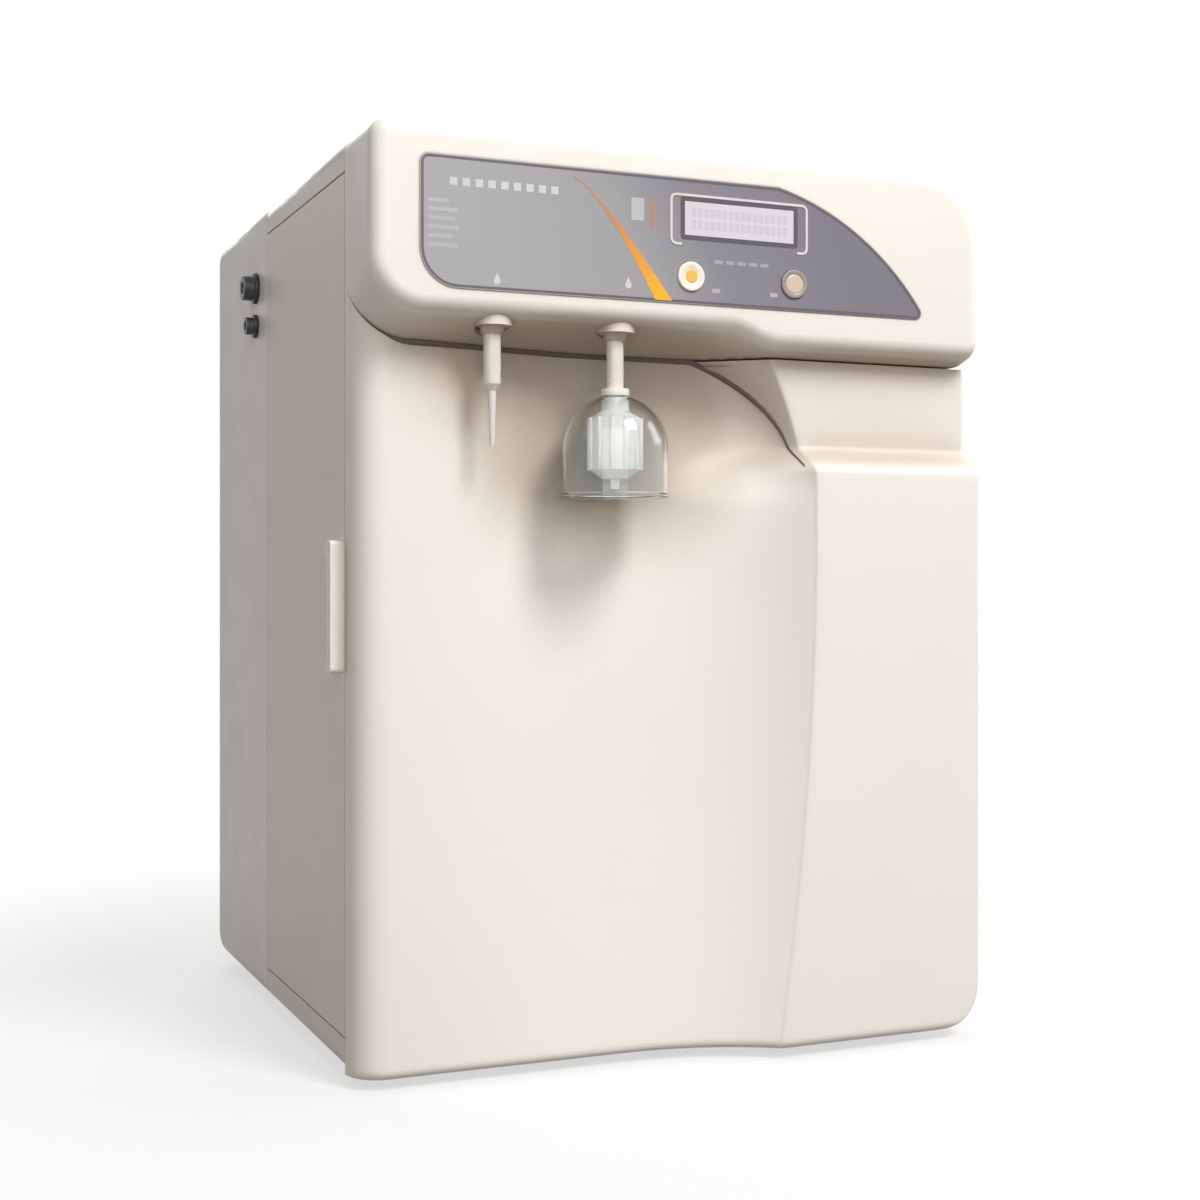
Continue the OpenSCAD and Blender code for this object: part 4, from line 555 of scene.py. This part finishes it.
def row_w(z):
    """Places across the cover at a height, closer together at its edges."""
    wi, wo, wr = inner_w(z), outer_w(z), right_w(z)
    return (
        arc_steps(BAY_EDGE_R, 9)
        + [mix(BAY_EDGE_R, BAY_MID_W, i / 14) for i in range(1, 15)]
        + [mix(BAY_MID_W, wi, i / 22) for i in range(1, 23)]
        + [mix(wi, wo, i / 4) for i in range(1, 5)]
        + [wo + s for s in (0.6, 1.5, 2.8, 4.4, 6.2, CREST_W)]
        + [mix(wo + CREST_W, wr - PANEL_EDGE_R, i / 8) for i in range(1, 9)]
        + [wr - s for s in reversed(arc_steps(PANEL_EDGE_R, 8)[:-1])]
    )


def drawn_in(v, lo, hi, t, band):
    """A place moved in by t at both ends, with the shift spread over a band."""
    if v - lo < band:
        return lo + t + (v - lo) * (band - t) / band
    if hi - v < band:
        return hi - t - (hi - v) * (band - t) / band
    return v


def rim_z(w, z):
    """Height that rises at the left as the head's corner does."""
    return z + fall(w, HEAD_CORNER_R) * clamp((z - ARCH_Z0) / (COVER_TOP_Z - ARCH_Z0), 0, 1)


def cover_rows(t):
    """Rows of points of the cover's outer skin, or for a wall t of its inner skin."""
    levels = ROW_Z[:1] + ROW_Z + ROW_Z[-1:]
    rows = []
    for j, z in enumerate(levels):
        ws = row_w(z)
        row = []
        for i, w in enumerate(ws[:1] + ws + ws[-1:]):
            rear = j in (0, len(levels) - 1) or i in (0, len(ws) + 1)
            depth = FRONT_D if rear else min(front_depth(w, z) + t, FRONT_D - FLANK_LEAST)
            wt = drawn_in(w, 0, right_w(z), t, SIDE_BAND) if t else w
            zt = drawn_in(z, BASE_Z, COVER_TOP_Z, t, END_BAND) if t else z
            row.append(at(wt, depth, rim_z(wt, zt)))
        rows.append(row)
    return rows


def border(v):
    """The verts round the edge of a grid, in turn."""
    return (list(v[0]) + [r[-1] for r in v[1:]] + list(reversed(v[-1][:-1]))
        + [r[0] for r in reversed(v[1:-1])])


def build_lower_cover():
    bm = bmesh.new()
    a = border(grid(bm, cover_rows(0)))
    b = border(grid(bm, cover_rows(WALL), flip=True))
    for k in range(len(a)):
        q = (k + 1) % len(a)
        bm.faces.new([a[k], b[k], b[q], a[q]])
    for w, z in COVER_BOSSES:
        d0 = front_depth(w, z) + WALL / 2
        lathe(bm, [(0, FRONT_D - PILOT_H), (PILOT_R, FRONT_D - PILOT_H), (PILOT_R, FRONT_D),
            (COVER_BOSS_R, FRONT_D), (COVER_BOSS_R, d0), (0, d0)], lambda x, y, h: at(w + x, h, z + y), 32)
    obj = finish_mesh("lower_cover_front", bm, M["cover"], angle=40)
    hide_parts("lower_cover")


build_lower_cover()

# ------------------------------------------------ the head


def lip_at(w):
    return LIP_Z - LIP_STEP * ease((w - STEP_W0) / (STEP_W1 - STEP_W0))


def neck_drop(w, d):
    """How far the underside has dropped at a depth, on its way from the lip to the neck."""
    near = HEAD_EDGE_R * 0.6
    far = front_depth(clamp(w, *NECK_SPAN), COVER_TOP_Z)
    return (lip_at(w) - NECK_Z) * clamp((d - near) / (far - near), 0, 1)


def head_outline(e, d):
    """Outline of the head at a depth, set in by e."""
    rl, rr = HEAD_CORNER_R, HEAD_RIGHT_R
    low = [(w, lip_at(w) + e) for w in (mix(rl, BODY_W - rr, i / 44) for i in range(45))]
    path = (arc_points(rl, LIP_Z + rl, rl - e, 180, 266, 14) + low
        + arc_points(BODY_W - rr, lip_at(BODY_W) + rr, rr - e, 276, 360, 9))
    fallen = [(x, z - neck_drop(x, d)) for x, z in path]
    return (fallen
        + arc_points(BODY_W - TOP_RIGHT_R, BODY_H - TOP_RIGHT_R, TOP_RIGHT_R - e, 0, 90, 22)
        + arc_points(TOP_LEFT_R, BODY_H - TOP_LEFT_R, TOP_LEFT_R - e, 90, 180, 10))


def head_shell():
    """Outer and inner skin of the head as one closed mesh, open at the rear."""
    bm = bmesh.new()
    turns = [math.pi / 2 * k / 12 for k in range(13)]
    rounding = [(1 - math.sin(a), 1 - math.cos(a)) for a in turns]
    depths = [11, 14, 17, 20, 23, 26, 29, 32, 35, 38, 41, 44, 47, 51, FRONT_D]
    inner_r = HEAD_EDGE_R - WALL
    levels = [(HEAD_EDGE_R * a, HEAD_EDGE_R * b) for a, b in rounding]
    levels += [(0, d) for d in depths]
    levels += [(WALL, d) for d in reversed(depths)]
    levels += [(WALL + inner_r * a, WALL + inner_r * b) for a, b in reversed(rounding)]
    verts = grid(bm, [[at(x, d, z) for x, z in head_outline(e, d)] for e, d in levels], closed=True)
    bm.faces.new(list(reversed(verts[0])))
    bm.faces.new(verts[-1])
    return bm


def boolean(target, cutter, operation="DIFFERENCE"):
    """Applies an exact boolean and drops the cutter."""
    mod = target.modifiers.new("cut", "BOOLEAN")
    mod.operation = operation
    mod.object = cutter
    mod.solver = "EXACT"
    depsgraph = bpy.context.evaluated_depsgraph_get()
    me = bpy.data.meshes.new_from_object(target.evaluated_get(depsgraph))
    target.modifiers.remove(mod)
    target.data = me
    bpy.data.objects.remove(cutter)


def build_head():
    head = as_object("head_cover_front", head_shell())
    bosses = [up_place(w, SPOUT_D) for w in (PLAIN_W, PRODUCT_W)]
    boss_z1 = BOSS_Z0 + BOSS_H
    collars, holes, cuts = bmesh.new(), bmesh.new(), bmesh.new()
    for place in bosses:
        rod(collars, COLLAR_R, BOSS_Z0 - FLANGE_T, boss_z1, place)
        rod(holes, FITTING_R + GAP, BOSS_Z0 - 2, boss_z1 + 4, place)
        rod(cuts, NUT_R + GAP, boss_z1, boss_z1 + 8, place)
        rod(cuts, FLANGE_R + GAP, BOSS_Z0 - 8, BOSS_Z0, place)
    plate(cuts, box_line(WX0, WZ0, WX1, WZ1), -1, WALL + 1)
    for w, z in (LEFT_BUTTON, RIGHT_BUTTON):
        rod(cuts, BUTTON_R + GAP, -WALL - 1, 1, front_place(w, z))
    boolean(head, as_object("collars", collars), "UNION")
    boolean(head, as_object("spout_holes", holes))
    boolean(head, as_object("window_holes", cuts))
    wear(head, M["cover"])
    smooth(head, 32)
    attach(head, "cabinet")
    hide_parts("head_cover")


build_head()


def bead(bm, points, radii, sides=10):
    """Closed round bead along points of the row frame, with a radius in mm at each."""
    last = len(points) - 1
    rings = []
    for k, p in enumerate(points):
        way = (points[min(k + 1, last)] - points[max(k - 1, 0)]).normalized()
        across = way.cross(Vector((0, 1, 0))).normalized()
        out = way.cross(across)
        rings.append([p + radii[k] / MM * (x * across + y * out) for x, y in circle(sides)])
    verts = grid(bm, rings, closed=True)
    bm.faces.new(verts[0])
    bm.faces.new(list(reversed(verts[-1])))


def build_arch_shade_bead():
    """Painted shade: a dark bead that stands for the shade in the joint under the head, along the neck, and
    thinner down the crease of the arch's flank.
    """
    n = 40
    line = [(mix(16, inner_w(COVER_TOP_Z), k / n), COVER_TOP_Z + 0.4) for k in range(n)]
    line += [(inner_w(z), z) for z in (mix(COVER_TOP_Z, COVE_Z0 + 4, (k / n) ** 0.9) for k in range(n + 1))]
    out = 0.25
    spots = [at(w, face_depth(w, min(z, COVER_TOP_Z)) + fall(w, BAY_EDGE_R) + out, z + fall(w, HEAD_CORNER_R))
        for w, z in line]
    thick, thin = 2.0, 0.45
    radii = [mix(thick, thin, clamp((k - n - 2) / (n - 2), 0, 1)) * clamp(k / 4 + 0.3, 0, 1)
        for k in range(len(spots))]
    bm = bmesh.new()
    bead(bm, spots, radii)
    # dark brown: painted shade
    finish_mesh("arch_shade_bead", bm, plastic("shade_bead_brown", srgb(96, 82, 74), 0.6, 0.05))


build_arch_shade_bead()

# ------------------------------------------------ control field

SLANT = 0.62  # lean of the field's change of tone, in width for each height


def field_material():
    """Grey film, paler and warmer on the left of the sweep, with a fine matt grain."""
    m = Mat("field_film", srgb(140, 139, 146), rough=0.42)
    slant = m.maths("MULTIPLY_ADD", m.axis("Z"), SLANT, m.axis("X"))
    lo, hi = ((LEFT_X + w + SLANT * 480) / MM for w in (60, 300))
    m.color(m.ramp(m.spread(slant, lo, hi), [(0.0, srgb(168, 168, 171)), (0.4, srgb(158, 157, 162)),
        (0.6, srgb(134, 132, 141)), (1.0, srgb(122, 119, 129))]))
    m.rough(300, 0.36, 0.46)
    return m.grain(4000, 0.06, 0.0001).mat


def field_outline(inset):
    """Outline of the control field, set in: straight on the left, with a swept right end."""
    x0, x1, z0, z1 = FIELD_W0, FIELD_W0 + FIELD_LEN, FIELD_Z0, FIELD_Z0 + FIELD_H
    cx, cz, r = x1 - 138.3, z0 - 92.4, 170.0 - inset
    x0, z0, z1 = x0 + inset, z0 + inset, z1 - inset
    low_r, high_r, tip_r = 22 - inset, 5 - inset, max(4 - inset, 0.5)
    tip = cx + math.sqrt((r - tip_r) ** 2 - (z0 + tip_r - cz) ** 2)
    a0 = math.degrees(math.atan2(z0 + tip_r - cz, tip - cx))
    top = cx + math.sqrt(r * r - (z1 - cz) ** 2)
    a1 = math.degrees(math.atan2(z1 - cz, top - cx))
    return (arc_points(x0 + low_r, z0 + low_r, low_r, 180, 270, 12)
        + arc_points(tip, z0 + tip_r, tip_r, 270, 360 + a0, 10)
        + arc_points(cx, cz, r, a0, a1, 40)[1:]
        + arc_points(x0 + high_r, z1 - high_r, high_r, 90, 180, 5))


wear(nodes["control_field"], field_material())

# Prints lie on the film: a little above it, and a little sunk so that no gap shows
SUNK = 0.1

# Dark ring round the field's edge: painted shade along the edge of the film
bm = bmesh.new()
ring(bm, field_outline(0.6), field_outline(2.0), -FIELD_T - 0.08, -FIELD_T + SUNK)
finish_mesh("field_edge_shade", bm, plastic("field_edge_shade_dark", srgb(96, 94, 102), 0.4))


def build_accent_line():
    """Sweeping accent line: thin at the top, wide at the bottom."""
    left, right = [], []
    for k in range(25):
        t = k / 24
        z = mix(FIELD_Z0 + FIELD_H - 5.5, FIELD_Z0 + 1.2, t)
        mid = 118 + 56 * t ** 0.76
        half = mix(0.8, 5.4, t ** 1.4)
        left.append((mid - half, z))
        right.append((mid + half, z))
    m = Mat("accent_orange", srgb(232, 150, 62), rough=0.35)
    m.color(m.ramp(m.spread(m.axis("Z"), 0.450, 0.515), [(0.0, srgb(250, 186, 36)),
        (0.35, srgb(236, 158, 66)), (0.65, srgb(206, 140, 96)), (1.0, srgb(178, 142, 122))]))
    m.grain(4000, 0.05, 0.0001)
    bm = bmesh.new()
    plate(bm, left + list(reversed(right)), -FIELD_T - 0.1, -FIELD_T + SUNK)
    finish_mesh("accent_line", bm, m.mat)


build_accent_line()


def drop_line(x, z, r):
    return [(x, z + 2.4 * r)] + [(x + r * math.sin(a), z + r * math.cos(a))
        for a in (math.radians(50 + 26 * k) for k in range(11))]


# Plain marks printed on the field: name, outlines, colour
MARKS = (
    ("scale_squares", [box_line(44 + 7.5 * k, 504.6, 48.4 + 7.5 * k, 509) for k in range(9)],
        srgb(206, 210, 214)),
    ("line_block", [box_line(31.6, 470 + 4.9 * k, 31.6 + long, 472.2 + 4.9 * k)
        for k, long in enumerate((17.4, 14, 17.4, 15.5, 17.4, 12))], srgb(186, 184, 192)),
    ("spout_drops", [drop_line(71.7, 453.4, 2.0), drop_line(151.6, 456.4, 2.0)], srgb(214, 210, 214)),
    ("caption_dashes", [box_line(207 + 7.6 * k, 472.6, 212.4 + 7.6 * k, 474.8) for k in range(5)],
        srgb(168, 164, 176)),
    ("key_marks", [box_line(205.5, 455.5, 210.5, 457.9), box_line(244, 455.5, 249, 457.9)],
        srgb(186, 182, 190)),
    ("tank_mark", [box_line(165.2, 491, 168.2, 507)], srgb(176, 134, 112)),
    ("tank_mark_pale", [box_line(153.5, 494, 161.5, 507)], srgb(188, 190, 194)),
)
for name, outlines, color in MARKS:
    bm = bmesh.new()
    for line in outlines:
        plate(bm, line, -FIELD_T - 0.06, -FIELD_T + SUNK)
    finish_mesh(name, bm, plastic(name + "_ink", color, 0.42, 0.04))

# ------------------------------------------------ display

MASK = 2.6
bm = bmesh.new()
ring(bm, rect(WX0 - MASK, WZ0 - MASK, WX1 + MASK, WZ1 + MASK, 2.2), rect(WX0, WZ0, WX1, WZ1, 0.2),
    -FIELD_T - 0.12, -FIELD_T + SUNK)
finish_mesh("display_mask", bm, plastic("mask_dark", srgb(88, 84, 96), 0.35))


def display_material():
    """Pale liquid-crystal glass: two faint rows of blank character cells."""
    m = Mat("display_glass", srgb(208, 204, 214), rough=0.16)
    m.shader.inputs["Coat Weight"].default_value = 0.4
    # axis, start and length in metres, number of cells
    ways = ("X", (LEFT_X + WX0 + 4) / MM, 0.0645, 16), ("Z", (WZ0 + 3) / MM, 0.014, 2)
    parts = []
    for axis, start, length, count in ways:
        v = m.maths("MULTIPLY", m.maths("SUBTRACT", m.axis(axis), start), count / length)
        for value, lo, hi in ((m.maths("FRACT", v), 0.12, 0.88), (v, 0.0, count)):
            parts += [m.maths("GREATER_THAN", value, lo), m.maths("LESS_THAN", value, hi)]
    cell = parts[0]
    for part in parts[1:]:
        cell = m.maths("MULTIPLY", cell, part)
    return m.color(m.ramp(cell, [(0.0, srgb(220, 216, 224)), (1.0, srgb(208, 203, 214))])).mat


wear(nodes["display_window"], display_material())

# ------------------------------------------------ buttons

STEM_R, STEM_END = 3, -9.8


def button(name, body, spot, ring_color, centre_color, c=3.8):
    """Round key: stem, flat bezel ring, groove and a slightly domed centre of radius c."""
    h0, h1 = -(WALL - 0.4), FIELD_T + 1.4
    r, edge = BUTTON_R, 0.7
    profile = [(0, STEM_END), (STEM_R, STEM_END), (STEM_R, h0), (r, h0), (r, h1 - edge)]
    profile += [(r - edge + edge * math.cos(a), h1 - edge + edge * math.sin(a))
        for a in (math.radians(18 * k) for k in range(1, 6))]
    centre_from = len(profile) + 2
    profile += [(c + 0.8, h1), (c + 0.5, h1 - 0.25), (c + 0.2, h1 - 0.25), (c, h1 - 0.1)]
    profile += [(c * math.cos(a), h1 - 0.1 + 0.45 * math.sin(a))
        for a in (math.radians(15 * k) for k in range(1, 6))]
    profile += [(0, h1 + 0.35)]
    bm = bmesh.new()
    lathe(bm, [(a, min(b, h1)) for a, b in profile], front_place(*spot), 72,
        [int(j >= centre_from) for j in range(len(profile) - 1)])
    obj = finish_mesh(name, bm, plastic(name + "_ring", ring_color, 0.3, 0.04),
        plastic(name + "_centre", centre_color, 0.26, 0.03), angle=40, body=body)
    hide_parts(body)


button("left_button_key", "left_button", LEFT_BUTTON, srgb(248, 242, 228), srgb(248, 192, 96))
button("right_button_key", "right_button", RIGHT_BUTTON, srgb(160, 148, 145), srgb(218, 196, 178), 5.4)

# ------------------------------------------------ bell


def dome(r, h0, h1, n=40):
    """Straight wall and rounded crown of the bell, up to its neck."""
    top = math.acos(BELL_NECK_R / r)
    return [(r * math.cos(top * k / n), mix(h0, h1, 1 - BELL_CROWN)
        + (h1 - h0) * BELL_CROWN * math.sin(top * k / n)) for k in range(n + 1)]


def glass(name):
    m = Mat(name, srgb(240, 243, 243), rough=0.03)
    m.shader.inputs["Transmission Weight"].default_value = 1.0
    m.shader.inputs["IOR"].default_value = 1.47
    return m.mat


def build_bell():
    inner_r, top = BELL_R - BELL_WALL, BELL_Z + BELL_H
    brim = [(inner_r, 0.4), (inner_r + 0.4, 0), (BRIM_R - 0.4, 0), (BRIM_R, 0.4), (BRIM_R, 1.6),
        (BRIM_R - 0.4, 2), (BELL_R, 2.4)]
    profile = [(r, BELL_Z + h) for r, h in brim]
    profile += dome(BELL_R, BELL_Z, top) + list(reversed(dome(inner_r, BELL_Z, top - BELL_WALL)))
    bm = bmesh.new()
    lathe(bm, profile + [profile[0]], up_place(PRODUCT_W, SPOUT_D), 96)
    bell = finish_mesh("bell_clear", bm, glass("bell_glass"), angle=40, body="final_filter")
    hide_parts("filter_bell")


build_bell()

# ------------------------------------------------ finishes of the other CAD nodes

FINISH = {
    "paint": ["base_pan", "wrap_cover", "side_door"],
    "rear": ["rear_cover"],
    "pull": ["door_pull"],
    "rubber": ["rubber_feet", "pump_mounts"],
    "magnet": ["door_magnets"],
    "steel": ["door_hinge_leaves", "frame_hinge_leaves", "front_plate", "partition", "hinge_post",
        "cartridge_rack", "power_supply"],
    "bright": ["hinge_pins", "fan_guard", "cover_screws"],
    "dark": ["display_module", "fuse_drawer", "fan_frame", "ro_cap", "pipe_clips"],
    "black": ["button_switches", "feed_port", "drain_port", "port_nuts", "tank_port", "power_inlet",
        "fan_rotor"],
    "board": ["display_board", "control_board"],
    "collar": ["plain_spout_fitting", "product_spout_fitting"],
    "spout": ["plain_spout", "product_spout"],
    "capsule": ["filter_capsule"],
    "red": ["power_switch"],
    "vessel": ["sediment_cartridge", "carbon_cartridge", "polishing_cartridges", "ro_housing"],
    "vessel_blue": ["cartridge_heads"],
    "membrane": ["ro_membrane"],
    "chamber": ["uv_chamber"],
    "white": ["uv_lamp", "board_spacers", "display_frame"],
    "pump": ["booster_pump", "circulation_pump"],
    "brass": ["feed_valve", "dispensing_valves"],
    "tube": ["inner_tubing"],
}
for finish, names in FINISH.items():
    for name in names:
        wear(nodes[name], M[finish])


def soften(names, width, segments=2):
    """Rounds the edges of CAD nodes by a small width, in mm."""
    for name in names:
        obj = nodes[name]
        obj.modifiers.new("weld", "WELD").merge_threshold = 1e-6
        flat = obj.modifiers.new("flat", "DECIMATE")
        flat.decimate_type = "DISSOLVE"
        flat.angle_limit = math.radians(0.4)
        edge = obj.modifiers.new("edge", "BEVEL")
        edge.width = width / MM
        edge.segments = segments
        edge.limit_method = "ANGLE"
        edge.angle_limit = math.radians(38)


soften(["door_pull"], 1.6, 4)
soften(["side_door", "wrap_cover", "base_pan"], 0.5)
soften(["rear_cover"], 0.8)
soften(["feed_port", "drain_port", "tank_port", "port_nuts"], 0.5)
soften(["power_inlet", "fuse_drawer", "power_switch"], 0.5)
soften(["fan_frame", "power_supply", "ro_cap", "feed_valve", "dispensing_valves"], 0.7)
soften(["plain_spout_fitting", "product_spout_fitting", "filter_capsule"], 0.35)
soften(["sediment_cartridge", "carbon_cartridge", "polishing_cartridges", "cartridge_heads",
    "ro_housing"], 1.6, 3)
soften(["booster_pump", "circulation_pump"], 1.2)

# ------------------------------------------------ bands on the cartridges


def tube_ring(bm, place, r0, r1, h0, h1):
    """Ring of revolution with slightly eased outer edges."""
    e = 0.15
    line = [(r0, h0), (r1 - e, h0), (r1, h0 + e), (r1, h1 - e), (r1 - e, h1), (r0, h1), (r0, h0)]
    lathe(bm, line, place, 72)


BAND_R = 33.9  # just inside the cartridge's skin
BLUE = srgb(84, 132, 182)
CARTRIDGES = {(58, 112): srgb(226, 226, 222), (58, 197): srgb(66, 68, 72), (146, 112): BLUE, (146, 197): BLUE}
for (w, d), color in CARTRIDGES.items():
    bm = bmesh.new()
    tube_ring(bm, up_place(w, d), BAND_R, BAND_R + 0.4, 120, 250)
    for z in (60, 64, 312, 316):
        tube_ring(bm, up_place(w, d), BAND_R, BAND_R + 0.6, z, z + 1.6)
    name = "band_%d_%d" % (w, d)
    finish_mesh(name, bm, plastic(name, color, 0.35, 0.03))

# ------------------------------------------------ screws and rating plate on the rear

COVER_SCREWS = ((24, 60), (24, 270), (24, 480), (371, 170), (371, 300), (371, 460), (200, 498), (200, 40))
FAN_AT, FAN_HOLE = (300, 420), 35.75


def pan_head(bm, w, z, r, h):
    """Domed screw head on the rear, with a round socket, its foot a little sunk."""
    top = [(r * math.cos(a), h * (0.35 + 0.65 * math.sin(a)))
        for a in (math.radians(v) for v in (0, 18, 36, 54, 68))]
    lathe(bm, [(0, -0.3), (r, -0.3)] + top + [(r * 0.36, h), (r * 0.34, h * 0.4), (0, h * 0.4)],
        rear_place(w, z), 36)


bm = bmesh.new()
for w, z in COVER_SCREWS:
    pan_head(bm, w, z, 3.6, 2.2)
for a in (-1, 1):
    for b in (-1, 1):
        pan_head(bm, FAN_AT[0] + FAN_HOLE * a, FAN_AT[1] + FAN_HOLE * b, 3.4, 2.0)
finish_mesh("rear_screws", bm, M["bright"])

# The rating plate is blank, with plain lines
bm = bmesh.new()
plate(bm, rect(70, 190, 140, 232, 2.5), BODY_D + 0.5, BODY_D - 0.3)
finish_mesh("rating_plate", bm, plastic("rating_silver", srgb(196, 198, 200), 0.3, 0.03))
bm = bmesh.new()
for k, short in enumerate((0, 10, 4, 22, 8)):
    plate(bm, box_line(76, 222 - 5.6 * k, 134 - short, 224.4 - 5.6 * k), BODY_D + 0.58, BODY_D + 0.4)
finish_mesh("rating_lines", bm, M["dark"])

# ------------------------------------------------ stage, light and camera

WHITE = (1, 1, 1, 1)


def build_floor():
    """Floor that is seen as white, with a soft part of the object's shadow close by."""
    bm = bmesh.new()
    bmesh.ops.create_grid(bm, x_segments=1, y_segments=1, size=6)
    obj = as_object("floor", bm)
    m = Mat("floor_pale", (0.16, 0.135, 0.115, 1), 0.9)
    away = m.node("ShaderNodeVectorMath", operation="LENGTH")
    m.link(m.coords(), away.inputs[0])
    share = m.spread(away.outputs["Value"], 0.30, 0.75, (0.62, 1.0), "SMOOTHSTEP")
    shaded = m.node("ShaderNodeBsdfDiffuse", Color=(0.9, 0.9, 0.9, 1)).outputs["BSDF"]
    white = m.node("ShaderNodeEmission", Color=WHITE).outputs["Emission"]
    use = m.blend(m.seen(), m.shader.outputs["BSDF"], m.blend(share, shaded, white))
    m.link(use, m.tree.nodes["Material Output"].inputs["Surface"])
    wear(obj, m.mat)


build_floor()


def build_world():
    """White behind the object, with a weak warm fill for the object itself."""
    world = bpy.data.worlds.new("studio")
    bpy.context.scene.world = world
    world.use_nodes = True
    world.node_tree.nodes.clear()
    t = Tree(world.node_tree)
    fill = t.node("ShaderNodeBackground", Color=(1.0, 0.92, 0.84, 1), Strength=0.12)
    white = t.node("ShaderNodeBackground", Color=WHITE, Strength=1.0)
    both = t.blend(t.seen(), fill.outputs["Background"], white.outputs["Background"])
    t.link(both, t.node("ShaderNodeOutputWorld").inputs["Surface"])


build_world()

LAMPS = {
    # name: (azimuth, elevation, distance, target, size, watts, colour)
    "wall": (-24, 20, 2.8, (0, -0.2, 0.3), (3.0, 2.4), 36, (1.0, 0.992, 0.98)),
    "key": (20, 48, 3.2, (0, -0.2, 0.3), (1.1, 1.1), 78, (1.0, 0.992, 0.98)),
    "right": (84, 24, 3.2, (0, 0, 0.3), (1.8, 1.6), 26, (1.0, 0.985, 0.97)),
    "back": (174, 30, 3.2, (0, 0, 0.3), (1.6, 1.6), 52, (1.0, 0.99, 0.98)),
}
for name, (azimuth, elevation, far, target, size, watts, color) in LAMPS.items():
    a, e = math.radians(azimuth), math.radians(elevation)
    way = Vector((math.cos(e) * math.sin(a), -math.cos(e) * math.cos(a), math.sin(e)))
    data = bpy.data.lights.new(name, "AREA")
    data.shape = "RECTANGLE"
    data.size, data.size_y = size
    data.energy = watts
    data.color = color
    lamp = bpy.data.objects.new(name, data)
    lamp.location = Vector(target) + far * way
    lamp.rotation_euler = (-way).to_track_quat("-Z", "Y").to_euler()
    bpy.context.scene.collection.objects.link(lamp)

camera = bpy.data.cameras.new("camera")
camera.sensor_width = 36
camera.lens = 52.9
camera.shift_y = -20 / 1200
camera.clip_start = 0.01
cam = bpy.data.objects.new("camera", camera)
cam.location = (-0.456, -1.1334, 0.2872)
cam.rotation_euler = (math.radians(90), 0, math.radians(-23.3))
bpy.context.scene.collection.objects.link(cam)
bpy.context.scene.camera = cam

bpy.context.scene.view_settings.view_transform = "Standard"
